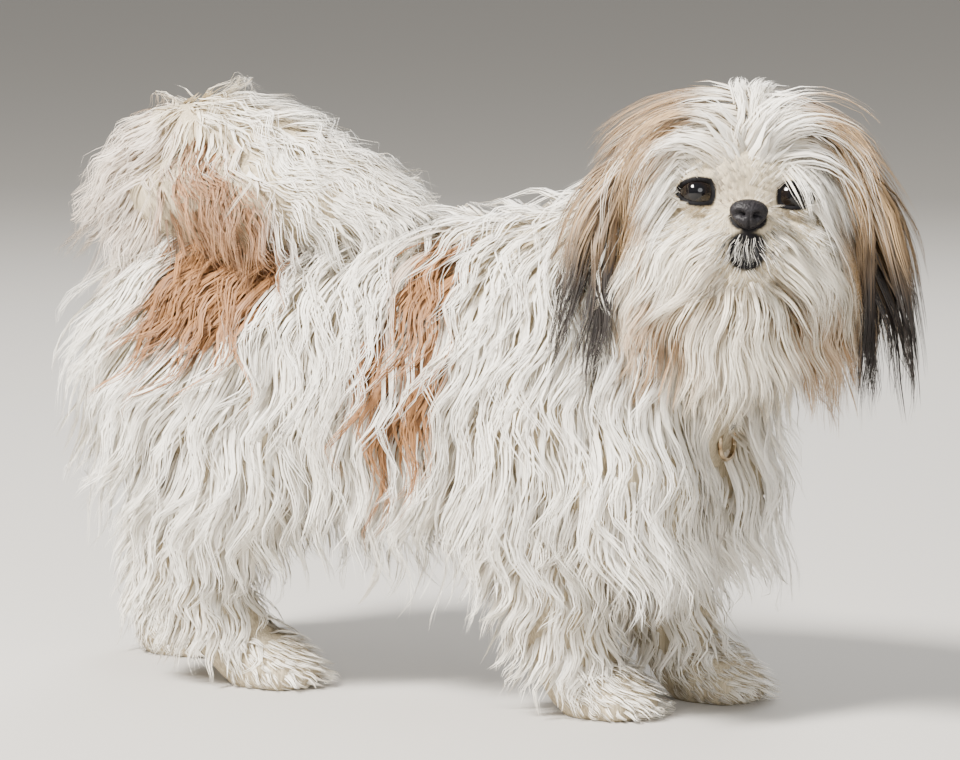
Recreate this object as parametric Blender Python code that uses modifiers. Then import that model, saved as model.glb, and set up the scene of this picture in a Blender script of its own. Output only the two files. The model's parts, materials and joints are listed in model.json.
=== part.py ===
"""A standing shih tzu in full coat at life size, head turned to its right and tail curled over its back.

Metres, +Z up. The dog faces +X and its left side is +Y. The sizes below are measured from a point on the
floor under the chest and loin; the last step moves the whole model so that the origin is on the floor under
the middle of its box. Each node is cut from one body by simple egg-shaped regions, so that neighbours meet
face to face with a thin gap. The long coat is built of flat, tapered locks that are rooted in a core.
"""

import math
import random

import bmesh
import bpy
import numpy as np
from mathutils import Matrix, Vector
from mathutils.bvhtree import BVHTree

# Sizes that hold for the whole model
GAP = 0.0005  # between neighbouring nodes
LEAST_SHARE = 0.72  # of the triangles of a joined node that are kept before its cuts
CORE_SHARE = 0.5  # how far the core reaches from the skin to the tips of the coat
RING_SIDES = 16  # points round each ring of a loft
BODY_VOXEL = 0.005
BODY_TRIANGLES = 700
HEAD_VOXEL = 0.0025
HEAD_TRIANGLES = 560
TAIL_TRIANGLES = 160
LOCK_SHAPE = (0.0, 0.26, 0.52, 0.77, 1.0)  # share of the length at each known ring below
LOCK_WIDTHS = (0.70, 1.00, 0.90, 0.55, 0.10)  # share of the full width there, the last before the tip
LOCK_DEPTHS = (1.00, 0.90, 0.75, 0.50, 0.20)
LOCK_RISE = (0.0, 0.45, 0.80, 1.10, 1.35)  # share of the coat's depth at which it lies
SEEDS = {"head": 2}  # the start of each node's chance where it isn't 0

# Locks by part of the coat: spacing of roots, length, width, thickness, depth over the core, wave, sink of the
# root, and the number of bends
LOCKS = {
    "body": (0.0410, 0.086, 0.045, 0.0080, 0.016, 0.006, 0.007, 4),
    "ruff": (0.0330, 0.070, 0.036, 0.0075, 0.013, 0.004, 0.006, 3),
    "leg": (0.0285, 0.056, 0.028, 0.0070, 0.013, 0.005, 0.005, 3),
    "plume": (0.0300, 0.070, 0.032, 0.0070, 0.014, 0.006, 0.005, 3),
    "crown": (0.0330, 0.076, 0.035, 0.0060, 0.009, 0.003, 0.005, 4),
    "muzzle": (0.0190, 0.034, 0.0180, 0.0045, 0.005, 0.002, 0.004, 2),
    "beard": (0.0275, 0.056, 0.029, 0.0060, 0.009, 0.003, 0.005, 3),
    "ear": (0.0185, 0.078, 0.024, 0.0050, 0.011, 0.003, 0.003, 3),
}
BELLY_FLOOR = 0.058  # the fringe ends above this height
PAW_FLOOR = 0.010

# Torso rings: x, height of centre, half width, up, down, then the coat's depth at the side, above and below
TORSO_RINGS = (
    (-0.206, 0.166, 0.018, 0.020, 0.022, 0.020, 0.010, 0.024),
    (-0.194, 0.178, 0.034, 0.034, 0.034, 0.034, 0.014, 0.036),
    (-0.173, 0.190, 0.047, 0.045, 0.044, 0.036, 0.016, 0.040),
    (-0.140, 0.195, 0.053, 0.054, 0.052, 0.036, 0.018, 0.050),
    (-0.090, 0.193, 0.052, 0.055, 0.052, 0.036, 0.017, 0.066),
    (-0.020, 0.190, 0.054, 0.062, 0.060, 0.036, 0.022, 0.068),
    (0.050, 0.188, 0.058, 0.069, 0.066, 0.034, 0.024, 0.056),
    (0.100, 0.184, 0.057, 0.062, 0.064, 0.042, 0.022, 0.046),
    (0.136, 0.176, 0.050, 0.050, 0.052, 0.046, 0.024, 0.046),
    (0.158, 0.168, 0.034, 0.032, 0.036, 0.046, 0.024, 0.046),
    (0.170, 0.162, 0.014, 0.014, 0.016, 0.030, 0.016, 0.030),
)
# Neck rings: x, y, z, half width, up, down, coat
NECK_RINGS = (
    (0.070, 0.000, 0.200, 0.046, 0.050, 0.054, 0.026),
    (0.115, -0.006, 0.222, 0.043, 0.046, 0.048, 0.030),
    (0.150, -0.018, 0.243, 0.041, 0.042, 0.042, 0.028),
    (0.172, -0.028, 0.262, 0.038, 0.038, 0.038, 0.020),
)
CHEST_COAT = ((0.128, 0.044, 0.128), (0.038, 0.040, 0.052))  # middle and radii of the long hair beside the chest
# Leg rings from the top down: x, y, z, half width, front, back, coat. Right is the side of -Y
FRONT_LEG_RINGS = (
    (0.078, 0.040, 0.190, 0.022, 0.026, 0.026, 0.030),
    (0.080, 0.044, 0.160, 0.027, 0.034, 0.034, 0.034),
    (0.070, 0.048, 0.118, 0.021, 0.024, 0.026, 0.030),
    (0.078, 0.045, 0.080, 0.0165, 0.0175, 0.0185, 0.024),
    (0.086, 0.041, 0.045, 0.0145, 0.0145, 0.0155, 0.020),
    (0.090, 0.038, 0.022, 0.0155, 0.0150, 0.0150, 0.012),
    (0.092, 0.036, 0.009, 0.0155, 0.0140, 0.0140, 0.006),
)
HIND_LEG_RINGS = (
    (-0.135, 0.036, 0.205, 0.024, 0.034, 0.034, 0.030),
    (-0.128, 0.042, 0.170, 0.030, 0.044, 0.044, 0.034),
    (-0.108, 0.047, 0.130, 0.025, 0.029, 0.033, 0.030),
    (-0.132, 0.046, 0.098, 0.0175, 0.0210, 0.0230, 0.028),
    (-0.156, 0.043, 0.068, 0.0140, 0.0145, 0.0150, 0.024),
    (-0.142, 0.040, 0.040, 0.0130, 0.0130, 0.0130, 0.020),
    (-0.128, 0.037, 0.018, 0.0140, 0.0135, 0.0135, 0.012),
    (-0.126, 0.036, 0.008, 0.0145, 0.0135, 0.0135, 0.006),
)
# How far each foot is set forward of the ring tables, which bends the leg from its top
FRONT_RIGHT_STEP, FRONT_LEFT_STEP = 0.004, 0.036
HIND_RIGHT_STEP, HIND_LEFT_STEP = 0.014, -0.084
PAW_LENGTH, PAW_WIDTH, PAW_HEIGHT = 0.030, 0.0205, 0.0165  # half length, half width, height of the knuckles
PAW_FORWARD = 0.012  # from the pastern to the middle of the paw
PAW_COAT = 0.005
TOE_RADIUS = 0.0085

# The tail's bone, from the croup up, over and along the back: x, y, z, radius
TAIL_BONE = (
    (-0.158, 0.000, 0.225, 0.014),
    (-0.186, 0.000, 0.248, 0.013),
    (-0.194, -0.004, 0.274, 0.012),
    (-0.172, -0.010, 0.297, 0.011),
    (-0.134, -0.018, 0.303, 0.010),
    (-0.092, -0.026, 0.293, 0.009),
    (-0.046, -0.034, 0.277, 0.006),
)
TAIL_COAT = (0.006, 0.020, 0.030, 0.030, 0.030, 0.028, 0.022)
TAIL_HANG = ((-0.104, -0.026, 0.271), (0.088, 0.040, 0.032))  # middle and radii of the hair below the bone

# The head: the middle of the skull, and where it faces
HEAD_AT = Vector((0.187, -0.035, 0.272))
HEAD_TURN = math.radians(-62.0)
HEAD_LIFT = math.radians(8.0)
HEAD_ROLL = math.radians(2.5)
# Ellipsoids in the head's own frame: middle (forward, left, up) and radii. A middle off the plane is mirrored
HEAD_FORMS = {
    "skull": ((-0.004, 0.0, 0.012), (0.049, 0.051, 0.042)),
    "brow": ((0.020, 0.0, 0.019), (0.025, 0.030, 0.022)),
    "cheek": ((0.012, 0.026, -0.016), (0.030, 0.026, 0.026)),
    "muzzle": ((0.044, 0.0, -0.009), (0.022, 0.023, 0.017)),
    "flew": ((0.048, 0.0115, -0.018), (0.017, 0.0135, 0.0135)),
    "jaw": ((0.034, 0.0, -0.032), (0.027, 0.0185, 0.012)),
    "ear_base": ((-0.006, 0.050, 0.030), (0.020, 0.017, 0.015)),
}
# The coat's mass over the head, halfway out to its tips
HEAD_COAT_FORMS = {
    "crown": ((-0.010, 0.0, 0.027), (0.050, 0.056, 0.045)),
    "side": ((-0.002, 0.040, -0.026), (0.036, 0.018, 0.042)),
    "beard": ((0.024, 0.0, -0.052), (0.026, 0.032, 0.026)),
    "nape": ((-0.036, 0.0, -0.016), (0.030, 0.050, 0.052)),
}
EYE_WINDOW = ((0.056, 0.0245, 0.0105), (0.030, 0.0210, 0.0175))  # kept clear of locks in front of each eye
NOSE = ((0.0665, 0.0, 0.0), (0.0085, 0.0108, 0.0088))
NOSTRIL = ((0.0735, 0.0048, -0.0008), (0.0032, 0.0021, 0.0026))
EYE_AT, EYE_RADIUS = (0.0330, 0.0245, 0.0115), 0.0105
LID_RING, LID_THICKNESS = 0.0094, 0.0022
MOUTH_AT, MOUTH_RADIUS, MOUTH_SLIT = (0.036, 0.0, -0.0255), 0.0285, 0.0010

# Egg-shaped regions that part the nodes: middle, radii, and tilt about Y. Where two meet, the first one wins
HEAD_REGION = ((0.006, 0.0, -0.014), (0.080, 0.077, 0.097))
EAR_REGION = ((-0.004, 0.077, -0.022), (0.046, 0.026, 0.076))
NECK_REGION = ((0.000, 0.0, 0.008), (0.078, 0.080, 0.046))
FRONT_LEG_REGION = ((0.080, 0.049, 0.050), (0.064, 0.0485, 0.140))
HIND_LEG_REGION = ((-0.130, 0.049, 0.050), (0.076, 0.0485, 0.155))
TAIL_REGION = ((-0.108, -0.010, 0.288), (0.146, 0.092, 0.046), math.radians(-4.0))

# The collar lies under the ruff and comes out of it at the throat
COLLAR_AT = Vector((0.118, 0.001, 0.208))
COLLAR_TILT = math.radians(47.5)  # of its plane's normal from +X up towards +Z is 90 degrees less this
COLLAR_LONG, COLLAR_WIDE = 0.063, 0.045  # half lengths of the loop, down the chest and across
STRAP_WIDTH, STRAP_THICKNESS = 0.015, 0.0025
KEEPER = (0.008, 0.005, 0.009)
RING_RADIUS, RING_WIRE, RING_CLEARANCE = 0.0095, 0.0014, 0.0009
RING_POCKET = 0.015

COAT_WHITE = (0.80, 0.77, 0.70)
COAT_TAN = (0.42, 0.29, 0.18)
LEATHER_BLACK = (0.012, 0.011, 0.012)
EYE_BROWN = (0.020, 0.010, 0.006)
WEBBING_BLACK = (0.015, 0.015, 0.017)
RING_BRASS = (0.45, 0.33, 0.18)


def clear_scene():
    for obj in list(bpy.data.objects):
        bpy.data.objects.remove(obj, do_unlink=True)


def collection(name):
    made = bpy.data.collections.new(name)
    bpy.context.scene.collection.children.link(made)
    return made


def material(name, colour, roughness, metallic=0.0):
    made = bpy.data.materials.new(name)
    made.use_nodes = True
    shader = made.node_tree.nodes["Principled BSDF"]
    shader.inputs["Base Color"].default_value = (*colour, 1.0)
    shader.inputs["Roughness"].default_value = roughness
    shader.inputs["Metallic"].default_value = metallic
    return made


def object_from(bm, name, home):
    mesh = bpy.data.meshes.new(name)
    bmesh.ops.recalc_face_normals(bm, faces=bm.faces)
    bm.to_mesh(mesh)
    bm.free()
    made = bpy.data.objects.new(name, mesh)
    home.objects.link(made)
    return made


def applied(obj):
    """obj with its modifiers turned into its mesh."""
    graph = bpy.context.evaluated_depsgraph_get()
    mesh = bpy.data.meshes.new_from_object(obj.evaluated_get(graph))
    obj.modifiers.clear()
    obj.data = mesh
    return obj


def loft(name, rings, up_hint, home):
    """A closed tube through rings of (centre, half width, up, down), each square to the way through them."""
    bm = bmesh.new()
    loops = []
    centres = [Vector(ring[0]) for ring in rings]
    for i, (_, side, up, down) in enumerate(rings):
        along = (centres[min(i + 1, len(rings) - 1)] - centres[max(i - 1, 0)]).normalized()
        across = Vector(up_hint).cross(along).normalized()
        above = along.cross(across)
        loop = []
        for k in range(RING_SIDES):
            turn = 2 * math.pi * k / RING_SIDES
            rise = up if math.sin(turn) > 0 else down
            offset = across * side * math.cos(turn) + above * rise * math.sin(turn)
            loop.append(bm.verts.new(centres[i] + offset))
        loops.append(loop)
    for low, high in zip(loops, loops[1:]):
        for k in range(RING_SIDES):
            n = (k + 1) % RING_SIDES
            bm.faces.new((low[k], low[n], high[n], high[k]))
    bm.faces.new(loops[0])
    bm.faces.new(loops[-1])
    return object_from(bm, name, home)


def egg(name, centre, radii, frame, home, rings=7):
    """An ellipsoid whose radii run along the frame's own axes."""
    bm = bmesh.new()
    bmesh.ops.create_uvsphere(bm, u_segments=2 * rings, v_segments=rings, radius=1.0)
    bmesh.ops.triangulate(bm, faces=bm.faces)
    place = frame @ Matrix.Translation(centre) @ Matrix.Diagonal((*radii, 1.0))
    bm.transform(place)
    return object_from(bm, name, home)


def grown(radii, by):
    return tuple(r + by for r in radii)


def mirrored(point, side):
    return (point[0], side * point[1], point[2])


def head_frame():
    turn = Matrix.Rotation(HEAD_TURN, 4, "Z")
    lift = Matrix.Rotation(-HEAD_LIFT, 4, "Y")
    roll = Matrix.Rotation(-HEAD_ROLL, 4, "X")
    return Matrix.Translation(HEAD_AT) @ turn @ lift @ roll


def collar_frame():
    """Its Z is the plane's normal, towards the head, and its X runs down the chest."""
    return Matrix.Translation(COLLAR_AT) @ Matrix.Rotation(COLLAR_TILT, 4, "Y")


def thinned(obj, share):
    """obj with that share of its triangles, those that matter least to its form going first."""
    thin = obj.modifiers.new("Thin", "DECIMATE")
    thin.ratio = share
    thin.use_collapse_triangulate = True
    return applied(obj)


def is_closed(obj):
    """Whether each edge of obj has exactly two faces."""
    mesh = bmesh.new()
    mesh.from_mesh(obj.data)
    closed = all(edge.is_manifold for edge in mesh.edges)
    mesh.free()
    return closed


def thinned_closed(obj):
    """obj with the smallest share of its triangles, LEAST_SHARE or more, that leaves its surface closed."""
    full = obj.data.copy()
    for step in range(25):
        thinned(obj, LEAST_SHARE + 0.01 * step)
        if is_closed(obj):
            return
        obj.data = full.copy()


def smoothed(pieces, name, voxel, passes, triangles, home):
    """One flowing closed form from pieces that overlap, brought down to about that many triangles."""
    bm = bmesh.new()
    for piece in pieces:
        bm.from_mesh(piece.data)
    made = object_from(bm, name, home)
    for piece in pieces:
        bpy.data.objects.remove(piece, do_unlink=True)
    remesh = made.modifiers.new("Flow", "REMESH")
    remesh.mode = "VOXEL"
    remesh.voxel_size = voxel
    smooth = made.modifiers.new("Ease", "SMOOTH")
    smooth.factor = 0.5
    smooth.iterations = passes
    applied(made)
    return thinned(made, min(1.0, triangles / (2 * len(made.data.polygons))))


def leg_rings(table, side, step, share):
    """The leg's rings, bent forward towards the foot by step, with share of the coat's depth."""
    top, foot = table[0][2], table[-1][2]
    rings = []
    for x, y, z, half, front, back, coat in table:
        reach = ((top - z) / (top - foot)) ** 1.3
        more = share * coat
        rings.append(((x + step * reach, side * y, z), half + more, front + more, back + more))
    return rings


def paw(table, side, step, share, name, home):
    """A paw with four toes, flat below the floor line, which a later cut takes off."""
    x, y = table[-1][0] + step + PAW_FORWARD, side * table[-1][1]
    more = share * PAW_COAT
    lift = PAW_HEIGHT * 0.62
    pieces = [
        egg(name, (x, y, lift), grown((PAW_LENGTH * 0.8, PAW_WIDTH, PAW_HEIGHT), more), Matrix(), home, 10)
    ]
    for k in range(4):
        across = (k - 1.5) / 1.5
        at = (
            x + PAW_LENGTH * (0.62 - 0.22 * across * across),
            y + PAW_WIDTH * 0.66 * across,
            TOE_RADIUS * 0.85,
        )
        radii = grown((TOE_RADIUS * 1.25, TOE_RADIUS * 0.85, TOE_RADIUS), more)
        pieces.append(egg(f"{name}_toe_{k}", at, radii, Matrix(), home, 8))
    return pieces


LEGS = (
    ("front_leg_right", FRONT_LEG_RINGS, -1, FRONT_RIGHT_STEP, FRONT_LEG_REGION),
    ("front_leg_left", FRONT_LEG_RINGS, 1, FRONT_LEFT_STEP, FRONT_LEG_REGION),
    ("hind_leg_right", HIND_LEG_RINGS, -1, HIND_RIGHT_STEP, HIND_LEG_REGION),
    ("hind_leg_left", HIND_LEG_RINGS, 1, HIND_LEFT_STEP, HIND_LEG_REGION),
)


def body_core(home):
    """Torso, neck and legs as one closed form."""
    torso = [
        (
            (x, 0.0, z),
            side + CORE_SHARE * c_side,
            up + CORE_SHARE * c_up,
            down + CORE_SHARE * c_down,
        )
        for x, z, side, up, down, c_side, c_up, c_down in TORSO_RINGS
    ]
    neck = [
        ((x, y, z), *(r + CORE_SHARE * coat for r in (side, up, down)))
        for x, y, z, side, up, down, coat in NECK_RINGS
    ]
    pieces = [loft("torso_form", torso, (0, 0, 1), home), loft("neck_form", neck, (0, 0, 1), home)]
    for side in (1, -1):
        pieces.append(egg("chest_form", mirrored(CHEST_COAT[0], side), CHEST_COAT[1], Matrix(), home))
    for name, table, side, step, _ in LEGS:
        rings = leg_rings(table, side, step, CORE_SHARE)
        pieces.append(loft(name + "_form", rings, (1, 0, 0), home))
        pieces += paw(table, side, step, CORE_SHARE, name + "_paw", home)
    return smoothed(pieces, "body_core", BODY_VOXEL, 6, BODY_TRIANGLES, home)


def head_core(home):
    """Skull, brow, cheeks, muzzle, lips, chin, the bases of the ears and the coat's mass as one closed form."""
    frame = head_frame()
    pieces = []
    for name, (at, radii) in (*HEAD_FORMS.items(), *HEAD_COAT_FORMS.items()):
        for side in (1, -1) if at[1] else (1,):
            pieces.append(egg(f"{name}_form", mirrored(at, side), radii, frame, home))
    return smoothed(pieces, "head_core", HEAD_VOXEL, 4, HEAD_TRIANGLES, home)


def tail_core(home):
    """The plume round the bone and the mass of hair that hangs from it onto the back."""
    rings = [
        ((x, y, z), *(3 * (r + CORE_SHARE * coat,)))
        for (x, y, z, r), coat in zip(TAIL_BONE, TAIL_COAT)
    ]
    pieces = [loft("tail_form", rings, (0, 1, 0), home), egg("hang_form", *TAIL_HANG, Matrix(), home)]
    return smoothed(pieces, "tail_core", 0.004, 3, TAIL_TRIANGLES, home)


class Region:
    """An egg-shaped part of space. Its node lies inside, and all that comes after it stays outside."""

    def __init__(self, name, centre, radii, frame):
        self.name, self.centre, self.radii, self.frame = name, centre, radii, frame
        self.inverse = (frame @ Matrix.Translation(centre)).inverted()

    def level(self, point):
        """Under 1 inside, 1 on the surface, over 1 outside."""
        own = self.inverse @ point
        return math.sqrt(sum((c / r) ** 2 for c, r in zip(own, self.radii)))

    def at_level(self, point, level):
        """The point moved along its line from the middle to the given level."""
        middle = self.frame @ Vector(self.centre)
        return middle + (point - middle) * (level / max(self.level(point), 0.05))

    def solid(self, by, home):
        return egg(self.name + "_region", self.centre, grown(self.radii, by), self.frame, home)


def regions():
    """Every region by node, in the order in which they win."""
    head = head_frame()
    found = {}
    for name, side in (("ear_left", 1), ("ear_right", -1)):
        found[name] = Region(name, mirrored(EAR_REGION[0], side), EAR_REGION[1], head)
    found["head"] = Region("head", *HEAD_REGION, head)
    found["neck"] = Region("neck", *NECK_REGION, collar_frame())
    for name, _, side, step, (at, radii) in LEGS:
        middle = (at[0] + 0.6 * step, side * at[1], at[2])
        found[name] = Region(name, middle, radii, Matrix())
    at, radii, tilt = TAIL_REGION
    frame = Matrix.Translation(at) @ Matrix.Rotation(-tilt, 4, "Y")
    found["tail"] = Region("tail", (0, 0, 0), radii, frame)
    return found


def boolean(obj, kind, others, solver="MANIFOLD"):
    """Joins, cuts or crosses obj with closed objects, which are removed."""
    if not others:
        return obj
    group = bpy.data.collections.new("operands")
    bpy.context.scene.collection.children.link(group)
    for other in others:
        for home in list(other.users_collection):
            home.objects.unlink(other)
        group.objects.link(other)
    made = obj.modifiers.new("Boolean", "BOOLEAN")
    made.operation = kind
    made.operand_type = "COLLECTION"
    made.collection = group
    made.solver = solver
    applied(obj)
    for other in others:
        bpy.data.objects.remove(other, do_unlink=True)
    bpy.data.collections.remove(group)
    return obj


def keep_largest(obj):
    """Drops every closed surface of obj but the largest, by the box it fills."""
    bm = bmesh.new()
    bm.from_mesh(obj.data)
    left, islands = set(bm.verts), []
    while left:
        todo, island = [left.pop()], []
        while todo:
            vert = todo.pop()
            island.append(vert)
            for edge in vert.link_edges:
                other = edge.other_vert(vert)
                if other in left:
                    left.remove(other)
                    todo.append(other)
        spans = [max(v.co[k] for v in island) - min(v.co[k] for v in island) for k in range(3)]
        islands.append((sum(spans), island))
    islands.sort(key=lambda found: found[0])
    bmesh.ops.delete(bm, geom=[v for _, island in islands[:-1] for v in island], context="VERTS")
    bm.to_mesh(obj.data)
    bm.free()
    return obj


def copy_of(obj, name, home):
    made = obj.copy()
    made.data = obj.data.copy()
    made.name = name
    home.objects.link(made)
    return made


def block(name, size, frame, home):
    bm = bmesh.new()
    bmesh.ops.create_cube(bm, size=1.0)
    bm.transform(frame @ Matrix.Diagonal((*size, 1.0)))
    return object_from(bm, name, home)


def floor_block(home):
    return block("floor", (2, 2, 0.2), Matrix.Translation((0, 0, -0.1)), home)


def collar_strap(name, by, home):
    """The strap as a thin band round the neck, grown all round by the given amount."""
    bpy.ops.mesh.primitive_cylinder_add(
        vertices=26, radius=1.0, depth=STRAP_WIDTH + 2 * by, end_fill_type="NOTHING"
    )
    made = bpy.context.object
    made.name = name
    made.data.transform(collar_frame() @ Matrix.Diagonal((COLLAR_LONG, COLLAR_WIDE, 1.0, 1.0)))
    for other in list(made.users_collection):
        other.objects.unlink(made)
    home.objects.link(made)
    shell = made.modifiers.new("Thickness", "SOLIDIFY")
    shell.thickness = STRAP_THICKNESS + 2 * by
    shell.offset = 0.0
    shell.use_even_offset = True
    return applied(made)


def ring_frame():
    """The ring hangs from the lowest point of the collar, in front of the chest."""
    low = collar_frame() @ Vector((COLLAR_LONG + STRAP_THICKNESS + 0.003, 0.0, 0.0))
    return Matrix.Translation(low)


def collar_keeper(by, home):
    """The block on the strap that the ring hangs in, grown all round by the given amount."""
    low = collar_frame() @ Matrix.Translation((COLLAR_LONG + KEEPER[2] * 0.5, 0, 0))
    return block("keeper", tuple(side + 2 * by for side in reversed(KEEPER)), low, home)


def collar(home, finish):
    strap = collar_strap("collar", 0.0, home)
    boolean(strap, "UNION", [collar_keeper(0.0, home)], "EXACT")
    hole = bmesh.new()
    bmesh.ops.create_cone(
        hole,
        cap_ends=True,
        segments=16,
        radius1=RING_WIRE + RING_CLEARANCE,
        radius2=RING_WIRE + RING_CLEARANCE,
        depth=0.05,
    )
    hole.transform(ring_frame() @ Matrix.Rotation(math.pi / 2, 4, "X"))
    boolean(strap, "DIFFERENCE", [object_from(hole, "hole", home)], "EXACT")
    strap.data.materials.clear()
    strap.data.materials.append(finish)
    return strap


def collar_ring(home, finish):
    """A round wire ring through the keeper, hanging down from it."""
    bpy.ops.mesh.primitive_torus_add(
        major_radius=RING_RADIUS, minor_radius=RING_WIRE, major_segments=20, minor_segments=6
    )
    ring = bpy.context.object
    ring.name = "collar_ring"
    hang = Matrix.Translation((0, 0, -RING_RADIUS)) @ Matrix.Rotation(math.pi / 2, 4, "Y")
    ring.data.transform(ring_frame() @ hang)
    for other in list(ring.users_collection):
        other.objects.unlink(ring)
    home.objects.link(ring)
    ring.data.materials.append(finish)
    return ring


def eyes(home, finish):
    for name, side in (("eye_left", 1), ("eye_right", -1)):
        at = mirrored(EYE_AT, side)
        eye = egg(name, at, (EYE_RADIUS,) * 3, head_frame(), home, 8)
        eye.data.materials.append(finish)
        eye.data.shade_smooth()


def eye_room(home):
    """What the head leaves free for each eye."""
    return [
        egg(f"eye_room_{side}", mirrored(EYE_AT, side), (EYE_RADIUS + 2 * GAP,) * 3, head_frame(), home, 8)
        for side in (1, -1)
    ]


def nose(home, finish):
    """The nose leather with its two nostrils."""
    made = egg("nose", *NOSE, head_frame(), home)
    holes = [
        egg(f"nostril_{side}", mirrored(NOSTRIL[0], side), NOSTRIL[1], head_frame(), home, 5)
        for side in (1, -1)
    ]
    boolean(made, "DIFFERENCE", holes, "EXACT")
    made.data.materials.append(finish)
    return made


def lids(home):
    """A raised rim round each eye."""
    made = []
    for side in (1, -1):
        bpy.ops.mesh.primitive_torus_add(
            major_radius=LID_RING, minor_radius=LID_THICKNESS, major_segments=14, minor_segments=4
        )
        rim = bpy.context.object
        rim.name = f"lid_{side}"
        face_out = Matrix.Rotation(math.radians(side * 16), 4, "Z") @ Matrix.Rotation(math.pi / 2, 4, "Y")
        ahead = Matrix.Translation((0, 0, EYE_RADIUS * 0.50))
        rim.data.transform(head_frame() @ Matrix.Translation(mirrored(EYE_AT, side)) @ face_out @ ahead)
        for other in list(rim.users_collection):
            other.objects.unlink(rim)
        home.objects.link(rim)
        made.append(rim)
    return made


def mouth_line(home):
    """A thin slit between the lips and the chin, open to the front and sides."""
    bm = bmesh.new()
    bmesh.ops.create_cone(
        bm, cap_ends=True, segments=18, radius1=MOUTH_RADIUS, radius2=MOUTH_RADIUS, depth=MOUTH_SLIT
    )
    bm.transform(head_frame() @ Matrix.Translation(MOUTH_AT) @ Matrix.Rotation(math.radians(-6), 4, "Y"))
    return object_from(bm, "mouth_slit", home)


def ear_flap(side, home):
    """The ear's leather: a hanging leaf whose hollow faces the head, its cup open below the root."""
    rows, columns = 7, 5
    length, width, cup, thickness = 0.070, 0.044, 0.007, 0.0045
    bm = bmesh.new()
    grid = []
    for i in range(rows):
        down = i / (rows - 1)
        half = 0.5 * width * math.sin(math.pi * (0.22 + 0.72 * down)) ** 0.8
        line = []
        for k in range(columns):
            across = 2 * k / (columns - 1) - 1
            out = 0.053 + 0.020 * math.sin(0.5 * math.pi * min(1.0, down * 2.4)) - cup * across * across
            line.append(bm.verts.new((-0.004 + half * across, side * out, 0.040 - length * down)))
        grid.append(line)
    for low, high in zip(grid, grid[1:]):
        for k in range(columns - 1):
            bm.faces.new((low[k], low[k + 1], high[k + 1], high[k]))
    bm.transform(head_frame())
    flap = object_from(bm, f"flap_{side}", home)
    shell = flap.modifiers.new("Thickness", "SOLIDIFY")
    shell.thickness = thickness
    shell.offset = 0.0
    return applied(flap)


class Nap:
    """A core's surface, over which locks are laid."""

    def __init__(self, core):
        bm = bmesh.new()
        bm.from_mesh(core.data)
        bmesh.ops.triangulate(bm, faces=bm.faces)
        self.tree = BVHTree.FromBMesh(bm)
        self.faces = [[vert.co.copy() for vert in face.verts] for face in bm.faces]
        self.areas = [face.calc_area() for face in bm.faces]
        bm.free()

    def ground(self, point):
        """The closest point of the surface, the way out there, and how far the point is above it."""
        at, out, _, _ = self.tree.find_nearest(point)
        return at, out, (point - at).dot(out)

    def roots(self, spacing, wanted, chance):
        """Points spread over the surface at least that far apart, where wanted says so."""
        found = []
        tries = int(14 * sum(self.areas) / spacing**2)
        for face in chance.choices(self.faces, self.areas, k=tries):
            a, b = sorted((chance.random(), chance.random()))
            point = face[0] * a + face[1] * (b - a) + face[2] * (1 - b)
            if wanted(point) and all((point - other).length > spacing for other in found):
                found.append(point)
        return found


def shaped(table, share):
    """The value of a lock's table at a share of its length."""
    return float(np.interp(share, LOCK_SHAPE, table))


def lock_line(nap, root, lie, keep, sizes, phase):
    """The points of a lock's middle line and the way out from the coat at each."""
    length, _, _, depth, wave, sink, bends = sizes
    at, out, _ = nap.ground(root)
    line, outs = [at - out * sink], [out]
    for k in range(1, bends + 1):
        _, out, _ = nap.ground(at)
        way = lie(at, out)
        way = (way - out * min(0.0, way.dot(out))).normalized()
        at = at + way * (length / bends) + out.cross(way) * wave * math.sin(phase + 2.4 * k)
        ground, out, height = nap.ground(at)
        wanted = shaped(LOCK_RISE, k / bends) * depth
        if height < wanted:
            at = ground + out * wanted
        at = keep(at)
        line.append(at)
        outs.append(out)
    return line, outs


def lock(name, nap, root, lie, keep, sizes, chance, home):
    """One flat, tapered, closed lock from a root on nap, lying over it the way lie says."""
    width, thickness, bends = sizes[1], sizes[2], sizes[-1]
    phase, twist = chance.uniform(0, 2 * math.pi), chance.uniform(-0.35, 0.35)
    line, outs = lock_line(nap, root, lie, keep, sizes, phase)
    bm = bmesh.new()
    rings = []
    for k in range(bends):
        along = (line[k + 1] - line[max(k - 1, 0)]).normalized()
        if k == 0:
            along = lie(root, outs[0]).normalized() + outs[0]
        across = along.cross(outs[k])
        if k and across.dot(side) < 0.4 * across.length + 0.2:
            across = side - along * side.dot(along)
        side = across.normalized()
        above = side.cross(along).normalized()
        flat, ridge = side + above * twist, above - side * twist
        half = width * shaped(LOCK_WIDTHS, k / bends) / 2
        high = thickness * shaped(LOCK_DEPTHS, k / bends)
        left, right = line[k] + flat * half, line[k] - flat * half
        corners = (left - ridge * high * 0.3, line[k] + ridge * high * 0.7, right - ridge * high * 0.3)
        rings.append([bm.verts.new(corner) for corner in corners])
    tip = bm.verts.new(line[-1])
    bm.faces.new(rings[0])
    for low, high_ring in zip(rings, rings[1:]):
        for k in range(3):
            n = (k + 1) % 3
            bm.faces.new((low[k], low[n], high_ring[n], high_ring[k]))
    for k in range(3):
        bm.faces.new((rings[-1][k], rings[-1][(k + 1) % 3], tip))
    bmesh.ops.triangulate(bm, faces=bm.faces)
    return object_from(bm, name, home)


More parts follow.
